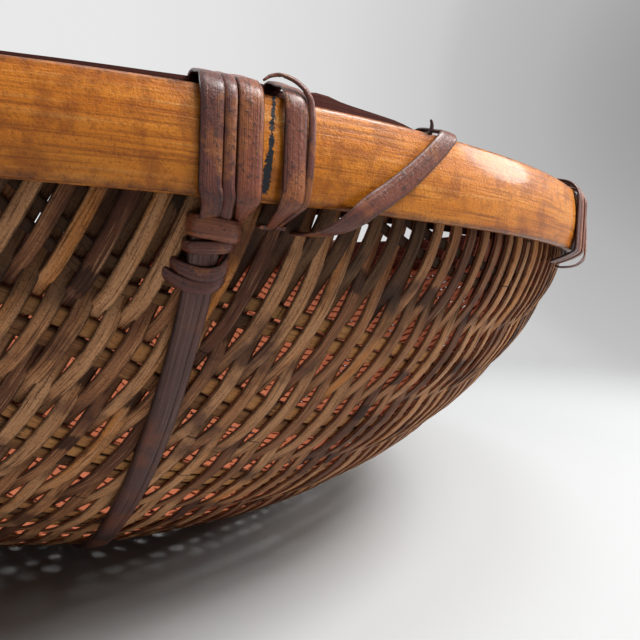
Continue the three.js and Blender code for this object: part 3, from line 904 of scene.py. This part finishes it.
def curve_through(stops, steps):
    """A smooth row of values through the stops, each a row of numbers."""
    stops = np.asarray(stops, dtype=float)
    padded = np.concatenate([2 * stops[:1] - stops[1:2], stops, 2 * stops[-1:] - stops[-2:-1]])
    before, start, end, after = padded[:-3], padded[1:-2], padded[2:-1], padded[3:]
    share = np.linspace(0.0, 1.0, steps, endpoint=False)[None, :, None]
    before, start, end, after = (part[:, None, :] for part in (before, start, end, after))
    rows = 0.5 * (
        2 * start
        + (end - before) * share
        + (2 * before - 5 * start + 4 * end - after) * share ** 2
        + (3 * start - before - 3 * end + after) * share ** 3
    )
    return np.concatenate([rows.reshape(-1, stops.shape[1]), stops[-1:]])


def add_core():
    strips = Strips()
    for row, radius in enumerate(CORE_ROWS):
        count = int(2 * math.pi * radius / CORE_PITCH)
        for number in range(count):
            place = number + 0.5 * row + draw.uniform(-CORE_SPREAD, CORE_SPREAD)
            angle = 2 * math.pi * place / count
            lean = draw.uniform(-CORE_LEAN, CORE_LEAN)
            top = CORE_HIGH - draw.uniform(0.0, CORE_TRIM)
            heights = np.array([CORE_LOW, (CORE_LOW + top) / 2, top])
            angles = angle + lean * (heights - CORE_LOW)
            outward = np.stack([np.cos(angles), np.sin(angles), np.zeros(3)], axis=1)
            path = outward * radius + np.array([0.0, 0.0, 1.0]) * heights[:, None]
            width = draw.uniform(*CORE_WIDTHS)
            add_split(strips, path, outward, width, CORE_THICKNESS, draw.uniform(0.0, 1.0))
    return strips.build("core_strip_ends", CORE_STRIP)


core = add_core()
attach(core, BODY)
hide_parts("rim_core")

# Inner hoop
# A dark split-bamboo hoop sprung into the mouth of the bowl, its two thinned ends lapped
# over each other, standing a little higher than the outer hoop.
STATION = -math.pi / 2 - math.asin(0.034 / WALL_RADIUS)
LAP_LENGTH = 0.090
LAP_TIP = 0.0014
LAP_GAP = 0.0005
INNER_HOOP_RADIUS = 0.2863
INNER_HOOP_THICKNESS = 0.0045
INNER_HOOP_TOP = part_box("inner_hoop")[1].z
INNER_HOOP_BULGE = 0.0005
INNER_HOOP_SEED = 31
# How far the hoop stands up at places along it, measured from the first lashing.
RISE_RUNS = (
    -0.20, -0.12, -0.045, -0.016, -0.006, 0.006, 0.010, 0.013, 0.018, 0.022,
    0.028, 0.033, 0.036, 0.041, 0.048, 0.060, 0.068, 0.11, 0.16,
)
RISES = (
    0.0, 0.0018, 0.0023, 0.0028, 0.0031, 0.0034, 0.0046, 0.0045, 0.0034, 0.0038,
    0.0052, 0.0051, 0.0044, 0.0039, 0.0035, 0.0029, 0.0016, 0.0008, 0.0,
)
HOOP_CLEAR_RISE = 0.0015
# Both hoops' rounded edges, at most the thickness over the parts given, and unevenness.
HOOP_STEPS = 480
HOOP_FACE_ROWS = 9
HOOP_EDGE = 0.0013
HOOP_EDGE_PARTS = 2.2
HOOP_EDGE_TURNS = (-90, -62, -35, -10)
HOOP_LIP = 0.0002
HOOP_DRIFT = 0.00018
HOOP_BOTTOM_DRIFT = 0.00035
HOOP_TOP_DRIFT = 0.0003
HOOP_DRIFT_WAVES = (2, 3, 5, 9, 17)

DARK_HOOP = bamboo_material(
    "dark_hoop_bamboo",
    ((0.0, (0.022, 0.006, 0.005)), (0.5, (0.050, 0.012, 0.009)), (1.0, (0.100, 0.028, 0.018))),
    (0.0007, 0.08, 0.0016), (0.70, 0.12, 0.0005),
    (
        ("Streaks", 0.5, 0.62, (0.012, 0.005, 0.004), 0.9),
        ("Streaks", 0.41, 0.34, (0.22, 0.085, 0.065), 0.6),
        ("edge", 0.7, 1.0, (0.030, 0.012, 0.009), 0.6),
    ),
    specular=0.02,
)


def slow_wave(angles, reach, seeds):
    """A gentle unevenness round a hoop."""
    waves = np.random.default_rng(seeds)
    total = np.zeros_like(angles)
    for times in HOOP_DRIFT_WAVES:
        total += np.sin(times * angles + waves.uniform(0, 2 * math.pi)) / math.sqrt(times)
    return reach * total / 2.0


def lapped_hoop(
    name, material, radius, thickness, low, high, lap_end, face_out, bulge, seeds, high_at=None,
):
    """A strip bent to a ring, its thinned ends lapped, the outer end on top."""
    lap = LAP_LENGTH / radius
    start = lap_end - lap
    angles = np.linspace(start, start + 2 * math.pi + lap, HOOP_STEPS)
    first = np.clip((angles - start) / lap, 0.0, 1.0)
    last = np.clip((angles - start - 2 * math.pi) / lap, 0.0, 1.0)
    inner = np.full(HOOP_STEPS, radius - thickness)
    outer = np.full(HOOP_STEPS, radius)
    thinned = radius - thickness + LAP_TIP
    growing = thickness - 2 * LAP_TIP
    under = angles < lap_end
    outer[under] = (thinned + growing * first - LAP_GAP / 2)[under]
    over = angles > start + 2 * math.pi
    inner[over] = (thinned + growing * last + LAP_GAP / 2)[over]
    round_angles = angles % (2 * math.pi)
    drift = slow_wave(round_angles, HOOP_DRIFT, seeds)
    bottom = low + np.abs(slow_wave(round_angles, HOOP_BOTTOM_DRIFT, seeds + 1))
    top = high + slow_wave(round_angles, HOOP_TOP_DRIFT, seeds + 2)
    if high_at is not None:
        top = top + high_at(angles)
    edge = np.minimum(HOOP_EDGE, (outer - inner) / HOOP_EDGE_PARTS)
    turns = np.radians(HOOP_EDGE_TURNS)
    face = np.linspace(-1.0, 1.0, HOOP_FACE_ROWS)[1:-1]
    half = (top - bottom) / 2
    middle = (top + bottom) / 2
    rings_out = [outer - inner]
    rings_high = [bottom + HOOP_LIP]
    for turn in turns:
        rings_out.append(bulge + edge * (1 - math.cos(turn)))
        rings_high.append(bottom + edge * (1 + math.sin(turn)))
    for place in face:
        rings_out.append(bulge * place ** 2 * np.ones(HOOP_STEPS))
        rings_high.append(middle + place * (half - edge))
    for turn in -turns[::-1]:
        rings_out.append(bulge + edge * (1 - math.cos(turn)))
        rings_high.append(top - edge * (1 - math.sin(turn)))
    rings_out.append(outer - inner)
    rings_high.append(top - HOOP_LIP)
    depth = np.minimum(np.stack(rings_out, axis=1), (outer - inner)[:, None])
    height = np.stack(rings_high, axis=1)
    reach = outer[:, None] - depth if face_out else inner[:, None] + depth
    reach = reach + drift[:, None]
    rings = np.stack([
        reach * np.cos(angles)[:, None], reach * np.sin(angles)[:, None], height,
    ], axis=-1)
    run = (angles - STATION) * HOOP_RADIUS
    across = height - middle[:, None]
    if face_out:
        rings = rings[:, ::-1]
        across = across[:, ::-1]
    strips = Strips()
    strips.add(rings[::-1], run[::-1], across[::-1], 0.5, 0.02, half[::-1])
    return strips.build(name, material)


def stands_high(angles):
    """The hoop has crept up beside the first lashing and is held down under it."""
    run = ((angles - STATION + math.pi) % (2 * math.pi) - math.pi) * HOOP_RADIUS
    return np.interp(run, RISE_RUNS, RISES)


inner_hoop = lapped_hoop(
    "inner_hoop_strip", DARK_HOOP, INNER_HOOP_RADIUS, INNER_HOOP_THICKNESS,
    HOOP_BOTTOM, INNER_HOOP_TOP, STATION + math.pi, False,
    INNER_HOOP_BULGE, INNER_HOOP_SEED, stands_high,
)
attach(inner_hoop, BODY)
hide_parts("inner_hoop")

# Outer hoop
# A broad strip of amber bamboo, smoked and polished by use, bent to a ring round the rim. Its
# lapped end lies under the last strand of the first lashing.
OUTER_HOOP_THICKNESS = 0.005
OUTER_HOOP_BULGE = 0.0015
OUTER_HOOP_SEED = 41
LAP_END_RUN = 0.0157
# The tar: how it leans, its half widths at two heights over the hoop's middle, its ragged
# edge and its foot.
TAR_RUN = 2 * math.pi * HOOP_RADIUS + 0.0103
TAR_LEAN = 0.07
TAR_HEIGHTS = (-0.003, 0.005)
TAR_HALF_WIDTHS = (0.00100, 0.00050)
TAR_RAGGED = 0.0032
TAR_EDGE = 0.00015
TAR_FOOT = (-0.0110, -0.0104)
TAR_GRAIN = 900.0
TAR_COLOUR = (0.006, 0.008, 0.012, 1.0)

AMBER_HOOP = bamboo_material(
    "amber_hoop_bamboo",
    (
        (0.0, (0.300, 0.076, 0.006)), (0.3, (0.500, 0.142, 0.010)),
        (0.62, (0.620, 0.210, 0.020)), (1.0, (0.740, 0.310, 0.060)),
    ),
    (0.0009, 0.040, 0.0007), (0.30, 0.12, 0.0003),
    (
        ("Streaks", 0.52, 0.66, (0.190, 0.048, 0.007), 0.7),
        ("Streaks", 0.44, 0.30, (0.70, 0.36, 0.11), 0.5),
        ("Flecks", 0.54, 0.66, (0.150, 0.032, 0.006), 0.45),
        ("stain", 0.50, 0.62, (0.200, 0.046, 0.006), 0.5),
        ("edge", 0.86, 1.04, (0.090, 0.022, 0.006), 0.85),
    ),
    shade_share=1.2, coat=0.28, specular=0.12, stain_size=0.008, coat_rough=0.12,
)


def add_tar(material):
    """A strip of old tar on the hoop, between the second and third turns of the lashing."""
    tree = material.node_tree
    shader = tree.nodes["Principled BSDF"]
    along, across, tone = strip_place(tree)
    grain_along = math_node(tree, "MULTIPLY", along, TAR_GRAIN)
    grain_across = math_node(tree, "MULTIPLY", across, TAR_GRAIN)
    grain = noise_node(tree, joined(tree, grain_along, grain_across, tone), 4.0, 0.7)
    centre = math_node(tree, "MULTIPLY_ADD", across, TAR_LEAN, TAR_RUN)
    away = math_node(tree, "ABSOLUTE", math_node(tree, "SUBTRACT", along, centre))
    reach = tree.nodes.new("ShaderNodeMapRange")
    reach.inputs["From Min"].default_value = TAR_HEIGHTS[0]
    reach.inputs["From Max"].default_value = TAR_HEIGHTS[1]
    reach.inputs["To Min"].default_value = TAR_HALF_WIDTHS[0]
    reach.inputs["To Max"].default_value = TAR_HALF_WIDTHS[1]
    tree.links.new(across, reach.inputs["Value"])
    ragged = math_node(tree, "MULTIPLY_ADD", grain, TAR_RAGGED, -TAR_RAGGED / 2)
    ragged_reach = math_node(tree, "ADD", reach.outputs[0], ragged)
    depth = math_node(tree, "SUBTRACT", ragged_reach, away)
    mask = tree.nodes.new("ShaderNodeMapRange")
    mask.inputs["From Max"].default_value = TAR_EDGE
    tree.links.new(depth, mask.inputs["Value"])
    low = tree.nodes.new("ShaderNodeMapRange")
    low.inputs["From Min"].default_value = TAR_FOOT[0]
    low.inputs["From Max"].default_value = TAR_FOOT[1]
    tree.links.new(across, low.inputs["Value"])
    both = math_node(tree, "MULTIPLY", mask.outputs[0], low.outputs[0])
    mix = tree.nodes.new("ShaderNodeMix")
    mix.data_type = "RGBA"
    before = shader.inputs["Base Color"].links[0].from_socket
    tree.links.new(both, mix.inputs["Factor"])
    tree.links.new(before, mix.inputs["A"])
    mix.inputs["B"].default_value = TAR_COLOUR
    tree.links.new(mix.outputs["Result"], shader.inputs["Base Color"])


add_tar(AMBER_HOOP)
outer_hoop = lapped_hoop(
    "outer_hoop_strip", AMBER_HOOP, HOOP_RADIUS, OUTER_HOOP_THICKNESS,
    HOOP_BOTTOM, HOOP_TOP, STATION + LAP_END_RUN / HOOP_RADIUS, True,
    OUTER_HOOP_BULGE, OUTER_HOOP_SEED,
)
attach(outer_hoop, BODY)
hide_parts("outer_hoop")

# Ribs
# Three long split bamboos, dark with age, that run beside the bowl's middle a third of a turn
# apart and cross each other under it. Each end is tied just below the rim.
RIB_SIDE = 0.034
RIB_WIDTH = 0.0077
RIB_THICKNESS = 0.0031
RIB_CLEAR = 0.0003
RIB_TOP_RUN = 0.0035
RIB_KNOT_LIFT = 0.0010
RIB_EASE = (0.020, 0.045)
RIB_STEPS = 64
RIB_ASIDE = 0.0018
RIB_ASIDE_RADII = (0.13, 0.22)
RIB_WIDENING = 0.0009
RIB_WIDENING_RUNS = (0.03, 0.09)
RIB_LEVEL_END = 0.0439
CROSSING_OUTSET = 0.112
RIB_JOINT_SPACE = 0.26
RIB_JOINT_SHIFT = 0.16
RIB_JOINT_STEP = 0.03
RIB_FIRST_TONE = 0.36
RIB_TONE_STEP = 0.12
# The rib's skin has a groove to one side of its middle.
RIB_SECTION = (
    (-1.0, -0.30), (-1.0, 0.06), (-0.84, 0.34), (-0.44, 0.46), (-0.40, 0.45),
    (-0.375, 0.30), (-0.35, 0.46), (0.0, 0.52), (0.4, 0.47), (0.84, 0.34),
    (1.0, 0.06), (1.0, -0.30), (0.0, -0.45),
)

RIB_BAMBOO = bamboo_material(
    "rib_bamboo",
    (
        (0.0, (0.052, 0.024, 0.023)), (0.35, (0.098, 0.043, 0.036)),
        (0.65, (0.150, 0.064, 0.044)), (1.0, (0.240, 0.096, 0.046)),
    ),
    (0.00032, 0.035, 0.0015), (0.42, 0.14, 0.00035),
    (
        ("Streaks", 0.52, 0.66, (0.028, 0.013, 0.013), 0.85),
        ("Streaks", 0.42, 0.28, (0.320, 0.200, 0.160), 0.5),
        ("stain", 0.50, 0.64, (0.200, 0.062, 0.026), 0.6),
        ("joint", 0.0, 1.0, (0.030, 0.016, 0.014), 0.7),
        ("edge", 0.74, 1.02, (0.018, 0.009, 0.008), 0.8),
    ),
    shade_share=0.9, specular=0.25, stain_size=0.02,
)


def wall_place(side, down, out):
    """A place on the wall beside a rib's end: side is measured from the rib's middle line,
    down from under the hoop, and out from the wall's face, all in metres."""
    run, radius, height, out_radius, out_height = PROFILE
    away = BAND_RUN - np.asarray(down, dtype=float)
    r = np.interp(away, run, radius)
    z = np.interp(away, run, height)
    nr = np.interp(away, run, out_radius)
    nz = np.interp(away, run, out_height)
    angle = -math.pi / 2 - np.arcsin((RIB_SIDE - side) / r)
    far = r + out * nr
    place = np.stack([far * np.cos(angle), far * np.sin(angle), z + out * nz], axis=-1)
    normal = np.stack([nr * np.cos(angle), nr * np.sin(angle), nz], axis=-1)
    return place, normal


def rib_end(passes_below):
    down = np.linspace(RIB_TOP_RUN, BAND_RUN - BOTTOM_RADIUS, RIB_STEPS)
    away = BAND_RUN - down
    radius = np.interp(away, PROFILE[0], PROFILE[1])
    lift = RIB_CLEAR + RIB_THICKNESS / 2 + RIB_KNOT_LIFT * (1 - smooth(down, *RIB_EASE))
    if passes_below:
        low = smooth(-radius, -(BOTTOM_RADIUS + CROSSING_OUTSET), -BOTTOM_RADIUS)
        lift = lift + (RIB_THICKNESS + RIB_CLEAR) * low
    aside = -RIB_ASIDE * smooth(radius, *RIB_ASIDE_RADII)
    width = RIB_WIDTH + RIB_WIDENING * smooth(down, *RIB_WIDENING_RUNS)
    place, normal = wall_place(aside, down, lift)
    return place, normal, width


def rib_way():
    place, normal, width = rib_end(False)
    back, back_normal, back_width = rib_end(True)
    mirror = np.array([1.0, -1.0, 1.0])
    level = np.array([
        [-RIB_SIDE, -RIB_LEVEL_END, place[-1, 2]],
        [-RIB_SIDE, RIB_LEVEL_END, back[-1, 2]],
    ])
    down = np.tile([0.0, 0.0, -1.0], (2, 1))
    way = np.concatenate([place, level, (back * mirror)[::-1]])
    normals = np.concatenate([normal, down, (back_normal * mirror)[::-1]])
    widths = np.concatenate([width, [width[-1]] * 2, back_width[::-1]])
    return way, unit(normals), widths


def turned(points, angle):
    c, s = math.cos(angle), math.sin(angle)
    return points @ np.array([[c, s, 0.0], [-s, c, 0.0], [0.0, 0.0, 1.0]])


rib_path, rib_normals, rib_widths = rib_way()
for number in range(3):
    strips = Strips()
    turn = 2 * math.pi * number / 3
    path = turned(rib_path, turn)
    run = np.concatenate([[0.0], np.cumsum(np.linalg.norm(np.diff(path, axis=0), axis=1))])
    past_joint = (run + RIB_JOINT_STEP * number) % RIB_JOINT_SPACE
    mark = np.clip(past_joint - RIB_JOINT_SHIFT, -JOINT_REACH, JOINT_REACH)
    add_split(
        strips, path, turned(rib_normals, turn), rib_widths, RIB_THICKNESS,
        RIB_FIRST_TONE + RIB_TONE_STEP * number, mark, RIB_SECTION,
    )
    rib = strips.build(f"rib_strip_{number + 1}", RIB_BAMBOO)
    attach(rib, BODY)
    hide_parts(f"rib_{number + 1}")

# Rib knots
# The turns of split strand that tie each rib's end to the weave under the rim: one broad turn
# over the strand that comes down from the hoop, a twisted one, and two slack ones below.
# Each turn: width, how far it is turned flat to the wall, and stops of side, down and out.
KNOT_TURNS = (
    (5.9, 0.0, (
        (-5.9, 5.6, -0.6), (-6.0, 5.5, 2.2), (-4.8, 5.3, 5.0), (-1.4, 5.4, 6.4),
        (2.6, 5.9, 6.2), (5.3, 6.4, 4.1), (6.4, 6.7, 1.4), (6.5, 6.8, -0.6),
    )),
    (3.4, 0.3, (
        (-6.2, 10.6, -0.6), (-6.3, 10.5, 2.0), (-5.0, 10.3, 4.6), (-1.5, 9.8, 5.9),
        (2.3, 9.6, 5.5), (4.5, 9.5, 3.4), (5.2, 9.5, 1.0), (5.3, 9.5, -0.6),
    )),
    (4.1, 0.7, (
        (-9.2, 15.4, -0.9), (-8.3, 15.6, 0.8), (-6.4, 16.1, 3.0), (-2.9, 16.7, 4.6), (0.4, 16.6, 4.9),
        (3.0, 15.7, 4.1), (4.3, 14.4, 2.3), (4.8, 13.2, 0.4), (4.9, 12.6, -0.9),
    )),
    (4.2, 0.7, (
        (-11.0, 18.0, -0.9), (-9.8, 18.4, 0.6), (-7.6, 19.3, 2.4), (-4.0, 20.3, 3.8), (-0.6, 20.3, 4.3),
        (2.0, 19.6, 3.8), (3.9, 18.4, 2.2), (4.5, 17.3, 0.4), (4.6, 16.6, -0.9),
    )),
)
KNOT_STEPS = 9
KNOT_THICKNESS = 0.0014
KNOT_MIDDLE_SIDE = -0.001
KNOT_MIDDLE_OUT = 0.0008
KNOT_NARROWING = 0.18
KNOT_NARROWING_SIDES = (0.004, 0.009)
KNOT_TONES = (0.2, 0.7)
FIRST_KNOT_TONES = (0.76, 0.54, 0.34, 0.32)

STRAND = bamboo_material(
    "binding_strand_bamboo",
    (
        (0.0, (0.045, 0.012, 0.010)), (0.35, (0.108, 0.028, 0.019)),
        (0.62, (0.180, 0.050, 0.026)), (0.82, (0.285, 0.084, 0.030)), (1.0, (0.385, 0.130, 0.038)),
    ),
    (0.0005, 0.022, 0.0012), (0.37, 0.12, 0.0004),
    (
        ("Streaks", 0.52, 0.66, (0.022, 0.009, 0.009), 0.8),
        ("Streaks", 0.44, 0.30, (0.250, 0.115, 0.075), 0.45),
        ("stain", 0.55, 0.63, (0.330, 0.115, 0.030), 0.45),
        ("Flecks", 0.57, 0.64, (0.026, 0.010, 0.008), 0.75),
        ("edge", 0.80, 1.05, (0.016, 0.008, 0.007), 0.8),
    ),
    shade_share=0.9, coat=0.22, specular=0.22, stain_size=0.009,
)


def add_knot(name, turn, mirrored, tones):
    strips = Strips()
    for (width, flat, stops), tone in zip(KNOT_TURNS, tones):
        rows = curve_through(stops, KNOT_STEPS) / 1000
        place, normal = wall_place(rows[:, 0], rows[:, 1], rows[:, 2])
        side = np.full(len(rows), KNOT_MIDDLE_SIDE)
        out = np.full(len(rows), KNOT_MIDDLE_OUT)
        middle = wall_place(side, rows[:, 1], out)[0]
        outward = unit(unit(place - middle) + flat * normal)
        if mirrored:
            mirror = np.array([1.0, -1.0, 1.0])
            place = place * mirror
            outward = outward * mirror
        narrowing = KNOT_NARROWING * smooth(np.abs(rows[:, 0]), *KNOT_NARROWING_SIDES)
        widths = width / 1000 * (1 - narrowing)
        add_split(strips, turned(place, turn), turned(outward, turn), widths, KNOT_THICKNESS, tone)
    knot = strips.build(name, STRAND)
    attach(knot, BODY)
    return knot


for number in range(3):
    for mark, mirrored in (("a", False), ("b", True)):
        first = number == 0 and not mirrored
        tones = FIRST_KNOT_TONES if first else draw.uniform(*KNOT_TONES, len(KNOT_TURNS))
        knot = add_knot(f"knot_{number + 1}{mark}", 2 * math.pi * number / 3, mirrored, tones)
        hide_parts(f"rib_knot_{number + 1}{mark}")

# Rim lashings
# Flat split strands wound side by side over both hoops and what they clamp. They come up out
# of the weave under the hoop, cross its face, pass over the rim and go down inside.
LASHING_BETWEEN = math.radians(34.0)
STRAND_THICKNESS = 0.0011
STRAND_STEPS = 6
# One turn's way over the rim: radius and height in millimetres, share of the way to the next turn.
OVER_RIM = (
    (290.6, 150.2, 0.0), (293.6, 151.4, 0.0), (297.6, 153.2, 0.0), (300.2, 155.0, 0.0),
    (300.75, 157.4, 0.0), (300.8, 162.0, 0.0), (300.8, 168.0, 0.0), (300.75, 174.0, 0.0),
    (300.5, 178.0, 0.0), (299.3, 181.0, 0.0), (296.6, 183.2, 0.02), (292.5, 184.3, 0.04),
    (287.5, 184.7, 0.06), (283.4, 184.3, 0.08), (281.3, 182.4, 0.12), (280.9, 179.0, 0.2),
    (280.85, 168.0, 0.45), (280.9, 158.0, 0.7), (281.9, 154.2, 0.8), (285.0, 151.4, 0.9),
    (288.2, 150.2, 1.0),
)
# Stops of a tied turn that start lower, beside the rib's knot.
TIED_STOPS = ((291.6, 146.0), (293.8, 149.6))
TIED_TURNS = 2
TIED_WIDENING = 0.2
# Each turn: place along the hoop on its face and at the weave below it, its width at the
# weave, on the hoop's lower and upper face and over the rim, in millimetres, and its tone.
LASHING_TURNS = (
    (-4.05, -2.4, 4.8, 5.6, 5.9, 5.4, 0.34),
    (0.20, 1.3, 2.8, 3.0, 3.3, 3.2, 0.36),
    (5.05, 5.5, 2.4, 6.4, 6.3, 5.7, 0.72),
    (16.4, 15.0, 2.4, 6.2, 6.2, 5.4, 0.52),
)
# The turns' outer sides lie beyond this radius, and their widths change at these heights.
OUTER_SIDE = 289.0
FACE_TOP = 182.0
FACE_FADE = (151.0, 158.0)
WIDTH_HEIGHTS = (150.2, 152.6, 155.0, 170.0, 181.0)
STEP_ON_SHARE = 0.9
# Where the strands are lifted over the inner hoop, in metres.
LIFT_RADII = (0.2945, 0.2875)
LIFT_HEIGHTS = (0.172, 0.1815)
LASHING_SHIFT = 0.12
TURN_TONE_SHIFT = 0.04
LAST_TURN_RUN = 20.6
LAST_TURN_THICKNESS = 0.0009
LAST_TURN_TONE = 0.45
# The last length's stops: radius, height, run along the hoop and width, in millimetres.
LAST_TURN = (
    (291.0, 150.6, 17.4, 1.2), (297.6, 153.4, 18.8, 1.8), (300.3, 155.4, 19.7, 2.0),
    (300.8, 160.0, 20.3, 2.1), (300.85, 168.0, 20.7, 2.1), (300.8, 174.0, 20.7, 2.0),
    (300.7, 178.0, 20.4, 1.9),
)
SPRUNG_END = (
    (300.6, 180.4, 20.0, 1.6), (300.2, 182.6, 18.6, 1.35), (299.6, 184.4, 16.0, 1.15),
    (299.2, 185.1, 12.8, 1.0), (299.0, 184.5, 10.2, 0.9), (299.0, 183.2, 8.4, 0.6),
)
TUCKED_END = (
    (299.3, 181.2, 20.2, 1.9), (296.6, 183.3, 20.1, 1.9), (292.5, 184.3, 20.0, 1.9),
    (287.5, 184.6, 20.0, 1.9), (283.2, 184.0, 20.2, 1.8), (281.0, 181.0, 20.4, 1.6),
    (280.8, 174.0, 20.8, 1.2),
)


def on_rim(radius, height, run, station):
    angle = station + run / HOOP_RADIUS
    return np.stack([radius * np.cos(angle), radius * np.sin(angle), height], axis=-1)


def over_rim_path(rows, station):
    """Places and outward directions of a strand whose rows hold radius, height and run."""
    path = on_rim(rows[:, 0], rows[:, 1], rows[:, 2], station)
    angle = station + rows[:, 2] / HOOP_RADIUS
    towards = np.gradient(rows[:, 0]), np.gradient(rows[:, 1])
    outward = np.stack([
        towards[1] * np.cos(angle), towards[1] * np.sin(angle), -towards[0],
    ], axis=-1)
    return path, unit(outward)


def lift_over_hoop(radius, height, angle):
    """How much higher a strand passes where the inner hoop stands high."""
    share = smooth(-radius, -LIFT_RADII[0], -LIFT_RADII[1]) * smooth(height, *LIFT_HEIGHTS)
    return share * np.maximum(stands_high(angle) - HOOP_CLEAR_RISE, 0.0)


def add_lashing(name, station, tied, springs_off, shift):
    strips = Strips()
    later = [turn[0] for turn in LASHING_TURNS[1:]] + [LAST_TURN_RUN]
    for turn, (on_face, at_weave, tip, lower, upper, over, tone) in enumerate(LASHING_TURNS):
        rows = []
        step_on = later[turn] - on_face
        widths = (tip, (tip + lower) / 2, lower, lower, upper)
        for radius, height, share in OVER_RIM:
            outside = radius > OUTER_SIDE
            low = smooth(height, *FACE_FADE) if outside else 1.0
            run = at_weave * (1 - low) + on_face * low + step_on * share * STEP_ON_SHARE
            on_outside = outside and height < FACE_TOP
            width = np.interp(height, WIDTH_HEIGHTS, widths) if on_outside else over
            angle = station + run / 1000 / HOOP_RADIUS
            height += 1000 * lift_over_hoop(radius / 1000, height / 1000, angle)
            rows.append((radius, height, run, width))
        if tied and turn < TIED_TURNS:
            rows[0] = (*TIED_STOPS[0], at_weave, tip)
            rows[1] = (*TIED_STOPS[1], at_weave, tip + TIED_WIDENING)
        rows = curve_through(rows, STRAND_STEPS) / 1000
        path, outward = over_rim_path(rows, station)
        own = tone + shift + draw.uniform(-TURN_TONE_SHIFT, TURN_TONE_SHIFT)
        add_split(strips, path, outward, rows[:, 3], STRAND_THICKNESS, own)
    add_last_turn(strips, station, springs_off, shift)
    lashing = strips.build(name, STRAND)
    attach(lashing, BODY)
    return lashing


def add_last_turn(strips, station, springs_off, shift):
    """The thin last length beside the fourth turn; at the first lashing its end springs off."""
    stops = LAST_TURN + (SPRUNG_END if springs_off else TUCKED_END)
    rows = curve_through(stops, STRAND_STEPS) / 1000
    path, outward = over_rim_path(rows, station)
    add_split(strips, path, outward, rows[:, 3], LAST_TURN_THICKNESS, LAST_TURN_TONE + shift)


STATIONS = {"a": STATION, "b": -STATION, "c": STATION + LASHING_BETWEEN}
for number in range(3):
    for mark, place in STATIONS.items():
        station = place + 2 * math.pi * number / 3
        first = number == 0 and mark == "a"
        shift = 0.0 if first else draw.uniform(-LASHING_SHIFT, LASHING_SHIFT)
        lashing = add_lashing(f"lashing_{number + 1}{mark}", station, mark != "c", first, shift)
        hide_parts(f"rim_lashing_{number + 1}{mark}")

# Diagonal strands
# The last length of each lashing, drawn up at a slant from the weave beside it, over the
# hoop's face and the rim, with its end tucked down inside.
# Stops: radius, height, run along the hoop and width, in millimetres.
DIAGONAL = (
    (283.0, 149.6, 22.6, 4.0), (287.6, 149.2, 24.4, 4.8), (292.0, 149.0, 26.6, 5.4),
    (295.8, 149.6, 29.0, 5.8), (298.8, 151.2, 31.8, 6.1), (300.7, 154.0, 35.4, 6.2),
    (301.1, 157.2, 39.4, 6.3), (301.1, 161.0, 45.1, 6.4), (301.15, 166.0, 51.7, 6.4),
    (301.1, 172.0, 58.7, 6.2), (300.9, 176.6, 63.6, 6.1), (300.0, 179.7, 66.7, 6.0),
    (297.6, 181.3, 68.4, 5.8), (293.6, 182.6, 69.9, 5.6), (289.0, 184.0, 71.1, 5.4),
    (285.2, 184.6, 71.9, 5.2), (281.8, 183.6, 72.6, 5.0), (280.8, 181.0, 72.8, 4.6),
    (280.8, 175.5, 72.8, 3.6),
)
FIRST_DIAGONAL_TONE = 0.5
DIAGONAL_TONES = (0.3, 0.62)
# The thorn-like stub of an old strand that stands up beside the first diagonal.
STUB = (
    (297.6, 178.9, 61.4, 1.5), (298.6, 180.4, 61.2, 1.3),
    (299.2, 182.0, 60.8, 1.0), (299.3, 183.2, 60.2, 0.5),
)
STUB_STEPS = 4
STUB_THICKNESS = 0.0007
STUB_TONE = 0.1

for number in range(3):
    for mark, place in STATIONS.items():
        strips = Strips()
        station = place + 2 * math.pi * number / 3
        first = number == 0 and mark == "a"
        rows = curve_through(DIAGONAL, STRAND_STEPS) / 1000
        rows[:, 1] += lift_over_hoop(rows[:, 0], rows[:, 1], station + rows[:, 2] / HOOP_RADIUS)
        path, outward = over_rim_path(rows, station)
        tone = FIRST_DIAGONAL_TONE if first else draw.uniform(*DIAGONAL_TONES)
        add_split(strips, path, outward, rows[:, 3], STRAND_THICKNESS, tone)
        if first:
            rows = curve_through(STUB, STUB_STEPS) / 1000
            path = on_rim(rows[:, 0], rows[:, 1], rows[:, 2], station)
            outward = np.tile([math.cos(station), math.sin(station), 0.0], (len(path), 1))
            add_split(strips, path, outward, rows[:, 3], STUB_THICKNESS, STUB_TONE)
        diagonal = strips.build(f"diagonal_{number + 1}{mark}", STRAND)
        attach(diagonal, BODY)
        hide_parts(f"diagonal_strand_{number + 1}{mark}")
